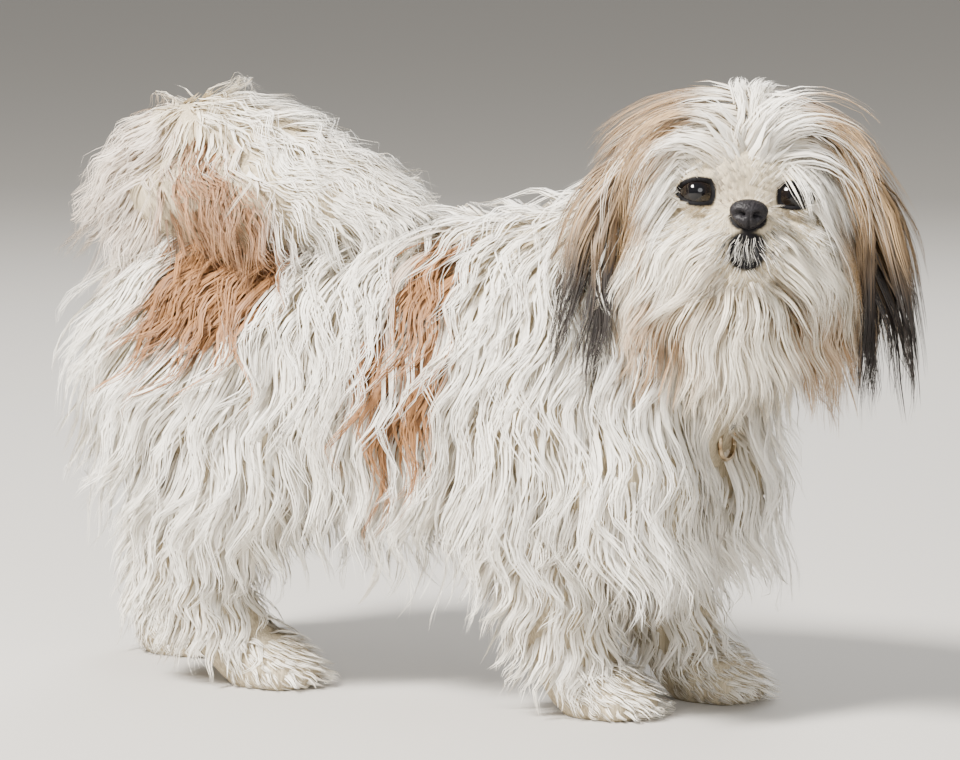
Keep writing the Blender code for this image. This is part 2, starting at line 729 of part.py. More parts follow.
def coat(kind, nap, wanted, lie, keep, lowest, chance, home):
    """The locks of one part of the coat, each a little different and none with its tip under the lowest height."""
    spacing, length, width, thickness, depth, wave, sink, bends = LOCKS[kind]
    made = []
    for root in nap.roots(spacing, wanted, chance):
        own_length = min(length * chance.uniform(0.8, 1.15), 1.1 * (root.z - lowest))
        if own_length < 0.4 * length:
            continue
        sizes = (
            own_length,
            width * chance.uniform(0.85, 1.15),
            thickness * chance.uniform(0.85, 1.15),
            depth * chance.uniform(0.7, 1.3),
            wave,
            sink,
            bends,
        )
        made.append(lock(f"{kind}_lock", nap, root, lie, keep, sizes, chance, home))
    return made


def kept(inside, outside):
    """Moves a point of a lock into its own region and out of the others."""

    def keep(point):
        if inside is not None and inside.level(point) > 0.97:
            point = inside.at_level(point, 0.97)
        for zone in outside:
            if zone.level(point) < 1.07:
                point = zone.at_level(point, 1.07)
        return Vector((point.x, point.y, max(point.z, PAW_FLOOR / 2)))

    return keep


def part_node(name, core_pieces, locks, inside, outside, home, finish):
    """One node: its pieces joined, kept inside its own region, and cleared of those that win over it."""
    made = core_pieces[0]
    made.name = name
    boolean(made, "UNION", core_pieces[1:] + locks)
    thinned_closed(made)
    if inside is not None:
        boolean(made, "INTERSECT", [inside])
    boolean(made, "DIFFERENCE", outside)
    keep_largest(made)
    made.data.materials.clear()
    made.data.materials.append(finish)
    for other in list(made.users_collection):
        other.objects.unlink(made)
    home.objects.link(made)
    return made


def centre_on_floor(nodes):
    """Moves every node so that the origin is on the floor under the middle of the box."""
    points = np.array([v.co for node in nodes for v in node.data.vertices])
    low, high = points.min(axis=0), points.max(axis=0)
    shift = Matrix.Translation((-(low[0] + high[0]) / 2, -(low[1] + high[1]) / 2, -low[2]))
    for node in nodes:
        node.data.transform(shift)


def fall(point, out, back, spread, parting):
    """The lie of hair that parts over the middle, runs down both sides and leans back."""
    side = 1 if point.y > parting else -1
    return Vector((-back, spread * side * (0.25 + max(0.0, out.z)), -1.0)).normalized()


def body_lie(point, out):
    return fall(point, out, 0.22 + 0.22 * min(0.0, out.x) - 0.30 * max(0.0, out.x), 0.6, 0.0)


def ruff_lie(point, out):
    return fall(point, out, 0.30 - 0.60 * max(0.0, out.x), 0.7, -0.01)


def leg_lie(point, out):
    return (Vector((-0.05, 0, -1.0)) + 0.30 * out).normalized()


def plume_lie(point, out):
    """Along the bone and out from it, and more and more downward towards its end."""
    along = Vector((0.62, -0.12, 0.10 - 3.4 * max(0.0, point.x + 0.15)))
    return (along + out * 0.50 + Vector((0, 0, -0.50))).normalized()


def head_way(own_point, own_out):
    """The lie of the head's hair in the head's own frame: parted in the middle, then down both sides."""
    side = 1 if own_point.y > 0 else -1
    return Vector((-0.05, side * (0.20 + 1.0 * max(0.0, own_out.z)), -0.9))


def muzzle_way(own_point, own_out):
    """Out from the bridge of the nose and up beside it, and down from the upper lip."""
    side = 1 if own_point.y > 0 else -1
    return Vector((0.05, side * 0.75, 0.5 if own_point.z > -0.002 else -0.55))


def beard_way(own_point, own_out):
    side = 1 if own_point.y > 0 else -1
    return Vector((0.10, side * 0.10, -1.0))


def ear_way(own_point, own_out):
    side = 1 if own_point.y > 0 else -1
    return Vector((0.0, side * 0.20, -1.0))


def in_head_frame(way):
    """A lie given in the head's own frame, for points of the model."""
    frame = head_frame()
    back, turn = frame.inverted(), frame.to_3x3()
    back_turn = turn.inverted()

    def lie(point, out):
        return (turn @ way(back @ point, back_turn @ out)).normalized()

    return lie


def crown_root(point):
    own = head_frame().inverted() @ point
    return own.z > -0.02 and (own.x < 0.026 or own.z > 0.032)


def muzzle_root(point):
    """On the bridge, the upper lip and the cheeks beside it, clear of eyes, nose and mouth."""
    own = head_frame().inverted() @ point
    eye = (own - Vector(mirrored(EYE_AT, 1 if own.y > 0 else -1))).length
    nose_away = (own - Vector(NOSE[0])).length
    at_mouth = abs(own.y) < 0.012 and own.z < -0.012
    return own.x > 0.026 and -0.032 < own.z < 0.012 and eye > 0.0185 and nose_away > 0.014 and not at_mouth


def beard_root(point):
    own = head_frame().inverted() @ point
    at_mouth = own.x > 0.040 and own.z > -0.040 and abs(own.y) < 0.014
    return own.z < -0.022 and not at_mouth and (own.x < 0.026 or own.z < -0.034)


def ear_root(point):
    own = head_frame().inverted() @ point
    return abs(own.y) > 0.062


def leg_root(point):
    return 0.026 < point.z < 0.125


def anywhere(point):
    return True


class Dog:
    """The cores and the regions from which every node is made."""

    def __init__(self, home, bench):
        self.home, self.bench = home, bench
        self.cores = {"body": body_core(bench), "head": head_core(bench), "tail": tail_core(bench)}
        for name, side in (("ear_left", 1), ("ear_right", -1)):
            self.cores[name] = ear_flap(side, bench)
        self.naps = {name: Nap(core) for name, core in self.cores.items()}
        self.zones = regions()
        at, radii = EYE_WINDOW
        self.windows = [Region("window", mirrored(at, side), radii, head_frame()) for side in (1, -1)]

    def above(self, name):
        """The names of the regions that win over this node."""
        order = list(self.zones)
        return order[: order.index(name)] if name in order else order

    def locks(self, node, core, groups):
        """The locks of a node, from (part of the coat, root test, lie, lowest tip)."""
        chance = random.Random(f"{node} {SEEDS.get(node, 0)}")
        inside = self.zones.get(node)
        others = [self.zones[name] for name in self.above(node)]
        keep = kept(inside, others + (self.windows if node == "head" else []))
        made = []
        for kind, wanted, lie, lowest in groups:

            def fits(point, test=wanted):
                within = inside is None or inside.level(point) < 0.93
                return within and all(zone.level(point) > 1.03 for zone in others) and test(point)

            made += coat(kind, self.naps[core], fits, lie, keep, lowest, chance, self.bench)
        return made

    def node(self, name, cores, groups, finish, more=(), cuts=(), core=None):
        """One node: its cores joined with its locks, then cut to its region."""
        pieces = [copy_of(self.cores[each], name, self.bench) for each in cores] + list(more)
        hair = self.locks(name, core or cores[0], groups)
        inside = self.zones[name].solid(-GAP / 2, self.bench) if name in self.zones else None
        outside = [self.zones[each].solid(GAP / 2, self.bench) for each in self.above(name)]
        cutters = outside + list(cuts) + self.collar_room()
        return part_node(name, pieces, hair, inside, cutters, self.home, finish)

    def collar_room(self):
        ring_middle = ring_frame() @ Vector((0, 0, -RING_RADIUS))
        return [
            collar_strap("strap_room", GAP, self.bench),
            collar_keeper(GAP, self.bench),
            egg("ring_room", ring_middle, (RING_POCKET,) * 3, Matrix(), self.bench),
        ]


def main():
    clear_scene()
    home, bench = collection("shih_tzu"), collection("cutters")
    white = material("white_coat", COAT_WHITE, 0.7)
    tan = material("ear_coat", COAT_TAN, 0.7)
    black = material("nose_leather", LEATHER_BLACK, 0.35)
    eye_finish = material("eye", EYE_BROWN, 0.08)
    webbing = material("webbing", WEBBING_BLACK, 0.75)
    brass = material("brass", RING_BRASS, 0.3, 1.0)

    dog = Dog(home, bench)
    for ear in ("ear_left", "ear_right"):
        dog.node(ear, [ear], [("ear", ear_root, in_head_frame(ear_way), 0.150)], tan)
    head_hair = [
        ("crown", crown_root, in_head_frame(head_way), 0.0),
        ("muzzle", muzzle_root, in_head_frame(muzzle_way), 0.0),
        ("beard", beard_root, in_head_frame(beard_way), 0.150),
    ]
    nose_room = egg("nose_room", NOSE[0], grown(NOSE[1], 2 * GAP), head_frame(), bench)
    face_cuts = eye_room(bench) + [mouth_line(bench), nose_room]
    dog.node("head", ["head", "body"], head_hair, white, lids(bench), face_cuts)
    dog.node("neck", ["body"], [("ruff", anywhere, ruff_lie, 0.10)], white)
    for leg in (each[0] for each in LEGS):
        dog.node(leg, ["body"], [("leg", leg_root, leg_lie, PAW_FLOOR)], white, (), [floor_block(bench)])
    dog.node("tail", ["tail"], [("plume", anywhere, plume_lie, 0.0)], white)
    torso_hair = [("body", anywhere, body_lie, BELLY_FLOOR)]
    dog.node("torso", ["body"], torso_hair, white)
    nose(home, black)
    eyes(home, eye_finish)
    collar(home, webbing)
    collar_ring(home, brass)
    for leftover in dog.cores.values():
        bpy.data.objects.remove(leftover, do_unlink=True)
    centre_on_floor(list(home.objects))


main()
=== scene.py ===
"""A standing shih tzu in full coat: one skin under locks of hair, with its eyes, nose, claws, collar and ring."""

import json
import math
from collections import namedtuple

import bmesh
import bpy
import numpy as np
from mathutils import Matrix, Vector
from mathutils.bvhtree import BVHTree

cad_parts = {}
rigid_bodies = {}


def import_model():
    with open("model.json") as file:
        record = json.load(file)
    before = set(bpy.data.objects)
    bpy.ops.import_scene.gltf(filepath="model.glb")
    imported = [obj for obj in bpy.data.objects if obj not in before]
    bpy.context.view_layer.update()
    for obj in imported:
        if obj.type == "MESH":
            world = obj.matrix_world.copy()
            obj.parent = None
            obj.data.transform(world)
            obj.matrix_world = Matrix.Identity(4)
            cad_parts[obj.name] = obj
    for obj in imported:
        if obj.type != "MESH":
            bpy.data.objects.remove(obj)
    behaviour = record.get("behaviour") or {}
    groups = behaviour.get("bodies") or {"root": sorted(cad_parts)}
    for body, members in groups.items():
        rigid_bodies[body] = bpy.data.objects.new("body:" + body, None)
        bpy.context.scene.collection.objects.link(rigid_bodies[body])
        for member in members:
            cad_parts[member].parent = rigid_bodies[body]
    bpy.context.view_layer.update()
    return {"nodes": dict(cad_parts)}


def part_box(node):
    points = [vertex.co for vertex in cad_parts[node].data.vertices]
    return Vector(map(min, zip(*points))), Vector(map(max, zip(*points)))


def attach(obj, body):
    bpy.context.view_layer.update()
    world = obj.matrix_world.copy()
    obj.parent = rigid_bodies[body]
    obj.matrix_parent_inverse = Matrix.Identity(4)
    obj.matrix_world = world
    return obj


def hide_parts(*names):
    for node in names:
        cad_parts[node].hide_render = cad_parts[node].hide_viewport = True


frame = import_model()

# Skeleton, in metres, as the solids have it. X is the way the body faces, Y the dog's left, Z up
RING_SIDES = 24
TORSO_RINGS = (
    (-0.206, 0.166, 0.018, 0.020, 0.022, 0.020, 0.010, 0.024),
    (-0.194, 0.178, 0.034, 0.034, 0.034, 0.034, 0.014, 0.036),
    (-0.173, 0.190, 0.047, 0.045, 0.044, 0.036, 0.016, 0.040),
    (-0.140, 0.195, 0.053, 0.054, 0.052, 0.036, 0.018, 0.050),
    (-0.090, 0.193, 0.052, 0.055, 0.052, 0.036, 0.017, 0.066),
    (-0.020, 0.190, 0.054, 0.062, 0.060, 0.036, 0.022, 0.068),
    (0.050, 0.188, 0.058, 0.069, 0.066, 0.034, 0.024, 0.056),
    (0.100, 0.184, 0.057, 0.062, 0.064, 0.042, 0.022, 0.046),
    (0.136, 0.176, 0.050, 0.050, 0.052, 0.046, 0.024, 0.046),
    (0.158, 0.168, 0.034, 0.032, 0.036, 0.046, 0.024, 0.046),
    (0.170, 0.162, 0.014, 0.014, 0.016, 0.030, 0.016, 0.030),
)
NECK_RINGS = (
    (0.070, 0.000, 0.200, 0.046, 0.050, 0.054, 0.026),
    (0.115, -0.006, 0.222, 0.043, 0.046, 0.048, 0.030),
    (0.150, -0.018, 0.243, 0.041, 0.042, 0.042, 0.028),
    (0.172, -0.028, 0.262, 0.038, 0.038, 0.038, 0.020),
)
CHEST_COAT = ((0.128, 0.044, 0.128), (0.038, 0.040, 0.052))
FRONT_LEG_RINGS = (
    (0.078, 0.040, 0.190, 0.022, 0.026, 0.026, 0.030),
    (0.080, 0.044, 0.160, 0.027, 0.034, 0.034, 0.034),
    (0.070, 0.048, 0.118, 0.021, 0.024, 0.026, 0.030),
    (0.078, 0.045, 0.080, 0.0165, 0.0175, 0.0185, 0.024),
    (0.086, 0.041, 0.045, 0.0145, 0.0145, 0.0155, 0.020),
    (0.090, 0.038, 0.022, 0.0155, 0.0150, 0.0150, 0.012),
    (0.092, 0.036, 0.009, 0.0155, 0.0140, 0.0140, 0.006),
)
HIND_LEG_RINGS = (
    (-0.135, 0.036, 0.205, 0.024, 0.034, 0.034, 0.030),
    (-0.128, 0.042, 0.170, 0.030, 0.044, 0.044, 0.034),
    (-0.108, 0.047, 0.130, 0.025, 0.029, 0.033, 0.030),
    (-0.132, 0.046, 0.098, 0.0175, 0.0210, 0.0230, 0.028),
    (-0.156, 0.043, 0.068, 0.0140, 0.0145, 0.0150, 0.024),
    (-0.142, 0.040, 0.040, 0.0130, 0.0130, 0.0130, 0.020),
    (-0.128, 0.037, 0.018, 0.0140, 0.0135, 0.0135, 0.012),
    (-0.126, 0.036, 0.008, 0.0145, 0.0135, 0.0135, 0.006),
)
# Each leg: its rings, the side it is on and how far its foot is set forward
LEGS = (
    (FRONT_LEG_RINGS, -1, 0.004),
    (FRONT_LEG_RINGS, 1, 0.036),
    (HIND_LEG_RINGS, -1, 0.014),
    (HIND_LEG_RINGS, 1, -0.084),
)
PAW_LENGTH, PAW_WIDTH, PAW_HEIGHT = 0.030, 0.0205, 0.0165
PAW_FORWARD, TOE_RADIUS = 0.012, 0.0085
TAIL_BONE = (
    (-0.158, 0.000, 0.225, 0.014),
    (-0.186, 0.000, 0.248, 0.013),
    (-0.194, -0.004, 0.274, 0.012),
    (-0.172, -0.010, 0.297, 0.011),
    (-0.134, -0.018, 0.303, 0.010),
    (-0.092, -0.026, 0.293, 0.009),
    (-0.046, -0.034, 0.277, 0.006),
)
TAIL_COAT = (0.006, 0.020, 0.030, 0.030, 0.030, 0.028, 0.022)
TAIL_HANG = ((-0.104, -0.026, 0.271), (0.088, 0.040, 0.032))
RING_VIEW, RING_GAP = np.array((0.45, -0.88, 0.10)), (0.016, 0.027)
HEAD_AT = Vector((0.187, -0.035, 0.272))
HEAD_TURN, HEAD_LIFT, HEAD_ROLL = math.radians(-62.0), math.radians(8.0), math.radians(2.5)
HEAD_FORMS = {
    "skull": ((-0.004, 0.0, 0.012), (0.049, 0.051, 0.042)),
    "brow": ((0.020, 0.0, 0.019), (0.025, 0.030, 0.022)),
    "cheek": ((0.012, 0.026, -0.016), (0.030, 0.026, 0.026)),
    "muzzle": ((0.044, 0.0, -0.009), (0.022, 0.023, 0.017)),
    "flew": ((0.048, 0.0115, -0.018), (0.017, 0.0135, 0.0135)),
    "jaw": ((0.034, 0.0, -0.032), (0.027, 0.0185, 0.012)),
    "ear_base": ((-0.006, 0.050, 0.030), (0.020, 0.017, 0.015)),
}
HEAD_COAT_FORMS = {
    "crown": ((-0.010, 0.0, 0.027), (0.050, 0.056, 0.045)),
    "side": ((-0.002, 0.040, -0.026), (0.036, 0.018, 0.042)),
    "beard": ((0.024, 0.0, -0.052), (0.026, 0.032, 0.026)),
    "nape": ((-0.036, 0.0, -0.016), (0.030, 0.050, 0.052)),
}
NOSE_AT, NOSE_RADII = (0.0665, 0.0, 0.0), (0.0085, 0.0108, 0.0088)
EYE_AT, EYE_RADIUS = (0.0330, 0.0245, 0.0115), 0.0105
# The lids: how far each is turned away from the middle of the eye, in degrees
LID_RADIUS, LID_OPEN = 0.0108, ((1, 35.0), (-1, 37.0))

# How far the skin and the bed of the hair lie towards the tips of the coat, as shares of its depth
SKIN_SHARE, BED_SHARE = 0.48, 0.58
FLOOR_CLEAR = 0.0015

# One kind of coat: distance between locks, their length, points along them, ribbons and fine hairs in each lock
# with their widths, radius of a lock, how far it closes towards its tip, depth over the bed, rise at the root,
# depth of the root, height and length of its waves, and how much of its way it keeps against the lie
Coat = namedtuple(
    "Coat",
    "spacing length points ribbons ribbon_width hairs hair_width radius tidy depth rise sink wave wavelength stiff",
)
COATS = {
    "body": Coat(0.0112, 0.080, 9, 8, 0.0016, 3, 0.0008, 0.0084, 0.74, 0.0055, 0.4, 0.008, 0.0080, 0.058, 1.6),
    "under": Coat(0.0084, 0.030, 4, 2, 0.0030, 0, 0.0008, 0.0040, 0.30, 0.0015, 0.3, 0.003, 0.0020, 0.030, 1.2),
    "part": Coat(0.0044, 0.026, 6, 6, 0.0009, 1, 0.0005, 0.0044, 0.30, 0.0030, 0.2, 0.003, 0.0016, 0.050, 0.7),
    "leg": Coat(0.0090, 0.037, 7, 7, 0.0014, 2, 0.0007, 0.0064, 0.66, 0.0045, 0.5, 0.006, 0.0044, 0.030, 1.1),
    "paw": Coat(0.0050, 0.015, 5, 6, 0.0010, 2, 0.0006, 0.0040, 0.35, 0.0022, 0.7, 0.002, 0.0012, 0.020, 1.0),
    "tail": Coat(0.0099, 0.054, 9, 6, 0.0011, 9, 0.0006, 0.0096, 0.30, 0.0036, 0.4, 0.006, 0.0062, 0.036, 1.1),
    "crown": Coat(0.0082, 0.092, 9, 13, 0.0009, 5, 0.0005, 0.0070, 0.50, 0.0035, 0.2, 0.004, 0.0018, 0.070, 1.2),
    "brow": Coat(0.0028, 0.044, 8, 5, 0.0006, 4, 0.0004, 0.0028, 0.40, 0.0060, 1.2, 0.002, 0.0012, 0.044, 1.7),
    "face": Coat(0.0033, 0.010, 4, 5, 0.0005, 4, 0.0004, 0.0026, 0.25, 0.0008, 0.4, 0.002, 0.0004, 0.022, 1.4),
    "whisker": Coat(0.0024, 0.014, 6, 0, 0.0006, 5, 0.00035, 0.0026, 0.05, 0.0016, 0.9, 0.002, 0.0010, 0.014, 1.3),
    "beard": Coat(0.0072, 0.046, 8, 9, 0.0009, 5, 0.0005, 0.0058, 0.50, 0.0040, 0.4, 0.004, 0.0034, 0.044, 1.4),
    "ear": Coat(0.0066, 0.088, 8, 13, 0.0010, 4, 0.0006, 0.0056, 0.50, 0.0045, 0.6, 0.004, 0.0026, 0.066, 2.0),
    "stray": Coat(0.0200, 0.046, 10, 0, 0.0010, 2, 0.0005, 0.0060, 0.20, 0.0030, 0.5, 0.004, 0.0030, 0.070, 2.2),
}

# Linear colours of the hair, and a painted shade that stands for the shade deep in the coat
WHITE, CREAM = (0.94, 0.905, 0.83), (0.76, 0.65, 0.45)
PAINTED_SHADE = (0.56, 0.47, 0.34)
TAN_LIGHT, TAN_DEEP = (0.37, 0.180, 0.074), (0.18, 0.078, 0.027)
FAWN, FAWN_GREY = (0.50, 0.325, 0.165), (0.19, 0.130, 0.082)
BLACK = (0.030, 0.024, 0.021)
LEATHER = (0.007, 0.0066, 0.0075)

QUAD_BUDGET = 190_000
# How far the surface of a lock, and of a strand in it, turns away to its sides
LOCK_ROUND, STRAND_ROUND = 0.85, 0.16


def head_frame():
    turn = Matrix.Rotation(HEAD_TURN, 4, "Z")
    lift = Matrix.Rotation(-HEAD_LIFT, 4, "Y")
    roll = Matrix.Rotation(-HEAD_ROLL, 4, "X")
    return Matrix.Translation(HEAD_AT) @ turn @ lift @ roll


def mirrored(at, side):
    return (at[0], side * at[1], at[2])


def find_shift():
    """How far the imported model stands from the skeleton's own place."""
    low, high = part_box("eye_left")
    return (low + high) / 2 - head_frame() @ Vector(EYE_AT)


SHIFT = find_shift()
HEAD = np.array(head_frame())
HEAD_BACK = np.linalg.inv(HEAD)


def to_head(points):
    return points @ HEAD_BACK[:3, :3].T + HEAD_BACK[:3, 3]


def turn_to_head(ways):
    return ways @ HEAD_BACK[:3, :3].T


def turn_from_head(ways):
    return ways @ HEAD[:3, :3].T


def unit(ways):
    return ways / np.maximum(np.linalg.norm(ways, axis=-1, keepdims=True), 1e-9)


def smooth_step(low, high, value):
    share = np.clip((value - low) / (high - low), 0.0, 1.0)
    return share * share * (3.0 - 2.0 * share)


def ripple(points, scale, seed):
    """A smooth value from about -1 to 1 that changes over space, at each point."""
    chance = np.random.default_rng(seed)
    ways = chance.normal(size=(7, 3)) * scale
    phases = chance.uniform(0.0, 2.0 * math.pi, 7)
    return np.sin(points @ ways.T + phases).mean(axis=-1) * 1.7


# Forms


def new_object(name, bm):
    mesh = bpy.data.meshes.new(name)
    bmesh.ops.recalc_face_normals(bm, faces=bm.faces)
    bm.to_mesh(mesh)
    bm.free()
    made = bpy.data.objects.new(name, mesh)
    bpy.context.scene.collection.objects.link(made)
    return made


def loft(bm, rings, up_hint):
    """Adds a closed tube through rings of (centre, half width, up, down)."""
    loops = []
    centres = [Vector(ring[0]) for ring in rings]
    for i, (_, side, up, down) in enumerate(rings):
        along = (centres[min(i + 1, len(rings) - 1)] - centres[max(i - 1, 0)]).normalized()
        across = Vector(up_hint).cross(along).normalized()
        above = along.cross(across)
        loop = []
        for k in range(RING_SIDES):
            turn = 2 * math.pi * k / RING_SIDES
            rise = up if math.sin(turn) > 0 else down
            loop.append(bm.verts.new(centres[i] + across * side * math.cos(turn) + above * rise * math.sin(turn)))
        loops.append(loop)
    for low, high in zip(loops, loops[1:]):
        for k in range(RING_SIDES):
            n = (k + 1) % RING_SIDES
            bm.faces.new((low[k], low[n], high[n], high[k]))
    bm.faces.new(loops[0])
    bm.faces.new(loops[-1])


def egg(bm, centre, radii, place=Matrix()):
    shape = place @ Matrix.Translation(centre) @ Matrix.Diagonal((*radii, 1.0))
    bmesh.ops.create_uvsphere(bm, u_segments=28, v_segments=18, radius=1.0, matrix=shape)


def flowed(name, bm, voxel, passes):
    """The pieces in bm as one flowing closed form."""
    made = new_object(name, bm)
    remesh = made.modifiers.new("Flow", "REMESH")
    remesh.mode = "VOXEL"
    remesh.voxel_size = voxel
    ease = made.modifiers.new("Ease", "SMOOTH")
    ease.factor = 0.5
    ease.iterations = passes
    graph = bpy.context.evaluated_depsgraph_get()
    mesh = bpy.data.meshes.new_from_object(made.evaluated_get(graph))
    made.modifiers.clear()
    made.data = mesh
    return made


def leg_rings(table, side, step, share):
    top, foot = table[0][2], table[-1][2]
    rings = []
    for x, y, z, half, front, back, coat in table:
        reach = ((top - z) / (top - foot)) ** 1.3
        more = share * coat
        rings.append(((x + step * reach, side * y, z), half + more, front + more, back + more))
    return rings


def paw_at(table, side, step):
    return table[-1][0] + step + PAW_FORWARD, side * table[-1][1]


def toe_at(x, y, k):
    across = (k - 1.5) / 1.5
    return x + PAW_LENGTH * (0.62 - 0.22 * across * across), y + PAW_WIDTH * 0.66 * across, TOE_RADIUS * 0.85


def paw(bm, table, side, step, more):
    x, y = paw_at(table, side, step)
    radii = (PAW_LENGTH * 0.8 + more, PAW_WIDTH + more, PAW_HEIGHT + more)
    egg(bm, (x, y, PAW_HEIGHT * 0.62), radii)
    for k in range(4):
        toe = (TOE_RADIUS * 1.25 + more, TOE_RADIUS * 0.85 + more, TOE_RADIUS + more)
        egg(bm, toe_at(x, y, k), toe)


def body_form(name, share, voxel, passes):
    """Torso, neck, legs and paws with a share of the coat's depth."""
    bm = bmesh.new()
    torso = [
        ((x, 0.0, z), side + share * c_side, up + share * c_up, down + share * c_down)
        for x, z, side, up, down, c_side, c_up, c_down in TORSO_RINGS
    ]
    neck = [((x, y, z), *(r + share * coat for r in (side, up, down))) for x, y, z, side, up, down, coat in NECK_RINGS]
    loft(bm, torso, (0, 0, 1))
    loft(bm, neck, (0, 0, 1))
    if share > 0.4:
        for side in (1, -1):
            egg(bm, mirrored(CHEST_COAT[0], side), CHEST_COAT[1])
    for table, side, step in LEGS:
        loft(bm, leg_rings(table, side, step, share), (1, 0, 0))
        paw(bm, table, side, step, share * 0.005)
    return flowed(name, bm, voxel, passes)


def head_form(name, with_coat, voxel, passes):
    bm = bmesh.new()
    forms = {**HEAD_FORMS, **HEAD_COAT_FORMS} if with_coat else HEAD_FORMS
    for at, radii in forms.values():
        for side in (1, -1) if at[1] else (1,):
            egg(bm, mirrored(at, side), radii, head_frame())
    if not with_coat:
        face_folds(bm)
    return flowed(name, bm, voxel, passes)


def tail_form(name, share, voxel, passes):
    bm = bmesh.new()
    rings = [((x, y, z), *(3 * (r + share * coat,))) for (x, y, z, r), coat in zip(TAIL_BONE, TAIL_COAT)]
    loft(bm, rings, (0, 1, 0))
    if share > 0.4:
        egg(bm, *TAIL_HANG)
    return flowed(name, bm, voxel, passes)


def ear_form(name, side, grown):
    """The ear's leather as a hanging leaf, hollow towards the head."""
    rows, columns = 15, 11
    length, width, cup = 0.070, 0.044, 0.007
    bm = bmesh.new()
    grid = []
    for i in range(rows):
        down = i / (rows - 1)
        half = 0.5 * width * math.sin(math.pi * (0.22 + 0.72 * down)) ** 0.8
        line = []
        for k in range(columns):
            across = 2 * k / (columns - 1) - 1
            out = 0.053 + 0.020 * math.sin(0.5 * math.pi * min(1.0, down * 2.4)) - cup * across * across
            line.append(bm.verts.new((-0.004 + half * across, side * out, 0.040 - length * down)))
        grid.append(line)
    for low, high in zip(grid, grid[1:]):
        for k in range(columns - 1):
            bm.faces.new((low[k], low[k + 1], high[k + 1], high[k]))
    bm.transform(head_frame())
    made = new_object(name, bm)
    shell = made.modifiers.new("Thickness", "SOLIDIFY")
    shell.thickness = 0.003 + grown
    shell.offset = 0.0
    graph = bpy.context.evaluated_depsgraph_get()
    mesh = bpy.data.meshes.new_from_object(made.evaluated_get(graph))
    made.modifiers.clear()
    made.data = mesh
    return made


def face_folds(bm):
    """Lids that follow the eyeballs, the lips and the chin."""
    eggs = []
    for row in range(5):
        for above, open_by in LID_OPEN:
            lid = above * math.radians(open_by + 12 * row)
            for k in range(15):
                turn = math.radians(-84 + 12 * k)
                x = EYE_AT[0] + LID_RADIUS * math.cos(turn) * math.cos(lid)
                y = EYE_AT[1] + LID_RADIUS * math.sin(turn)
                z = EYE_AT[2] + LID_RADIUS * math.cos(turn) * math.sin(lid)
                eggs += [((x, side * y, z), (0.0016, 0.0018, 0.0016)) for side in (1, -1)]
    for k in range(11):
        across = (k - 5) / 5
        eggs.append(((0.0625 - 0.018 * across**2, 0.021 * across, -0.0225 - 0.003 * across**2), (0.0032, 0.0040, 0.0022)))
        eggs.append(((0.0585 - 0.018 * across**2, 0.019 * across, -0.0270 - 0.002 * across**2), (0.0034, 0.0038, 0.0026)))
    add_eggs(bm, eggs, head_frame())


def add_eggs(bm, eggs, place):
    """Many small eggs, each given by its centre and radii."""
    ball = bmesh.new()
    bmesh.ops.create_icosphere(ball, subdivisions=2, radius=1.0)
    ball.verts.index_update()
    shape = np.array([vert.co[:] for vert in ball.verts])
    faces = np.array([[vert.index for vert in face.verts] for face in ball.faces])
    ball.free()
    centres, radii = (np.array([egg_data[k] for egg_data in eggs]) for k in (0, 1))
    points = (centres[:, None] + shape[None] * radii[:, None]).reshape(-1, 3)
    index = faces[None] + len(shape) * np.arange(len(eggs))[:, None, None]
    mesh = bpy.data.meshes.new("eggs")
    mesh.from_pydata(points.tolist(), [], index.reshape(-1, 3).tolist())
    mesh.transform(place)
    bm.from_mesh(mesh)
    bpy.data.meshes.remove(mesh)


class Bed:
    """A closed form over which hair is laid, asked for its nearest point."""

    def __init__(self, *forms):
        corners, faces, outs = [], [], []
        for form in forms:
            mesh = form.data
            mesh.calc_loop_triangles()
            co = np.empty(len(mesh.vertices) * 3)
            mesh.vertices.foreach_get("co", co)
            normals = np.empty(len(mesh.vertices) * 3)
            mesh.vertex_normals.foreach_get("vector", normals)
            index = np.empty(len(mesh.loop_triangles) * 3, np.int64)
            mesh.loop_triangles.foreach_get("vertices", index)
            index = index.reshape(-1, 3)
            faces.append(index + sum(len(c) for c in corners))
            corners.append(co.reshape(-1, 3))
            outs.append(unit(normals.reshape(-1, 3)[index].sum(axis=1)))
        self.corners = np.concatenate(corners)
        self.faces = np.concatenate(faces)
        self.outs = np.concatenate(outs)
        self.tree = BVHTree.FromPolygons(self.corners.tolist(), self.faces.tolist())

    def nearest(self, points):
        """The closest point of the form, the way out there, and the height over it, for each point."""
        at = np.empty_like(points)
        index = np.empty(len(points), np.int64)
        for n, point in enumerate(points):
            found = self.tree.find_nearest(point)
            at[n] = found[0]
            index[n] = found[2]
        outs = self.outs[index]
        return at, outs, ((points - at) * outs).sum(axis=1)

    def scatter(self, spacing, wanted, seed):
        """Points at least that far apart over the part of the form that is wanted."""
        chance = np.random.default_rng(seed)
        a, b, c = (self.corners[self.faces[:, k]] for k in range(3))
        areas = np.linalg.norm(np.cross(b - a, c - a), axis=1) / 2
        tries = int(9 * areas.sum() / spacing**2)
        pick = chance.choice(len(areas), tries, p=areas / areas.sum())
        u, v = np.sort(chance.random((2, tries)), axis=0)
        points = a[pick] * u[:, None] + b[pick] * (v - u)[:, None] + c[pick] * (1 - v)[:, None]
        points = points[wanted(points, self.outs[pick])]
        taken, kept = {}, []
        cells = np.floor(points / spacing).astype(int)
        around = [(i, j, k) for i in (-1, 0, 1) for j in (-1, 0, 1) for k in (-1, 0, 1)]
        for n, (cell, point) in enumerate(zip(cells.tolist(), points.tolist())):
            near = [taken.get((cell[0] + i, cell[1] + j, cell[2] + k)) for i, j, k in around]
            if all(math.dist(point, other) > spacing for group in near if group for other in group):
                taken.setdefault(tuple(cell), []).append(point)
                kept.append(n)
        return points[kept]


# Locks


Locks = namedtuple("Locks", "lines outs sides roots")


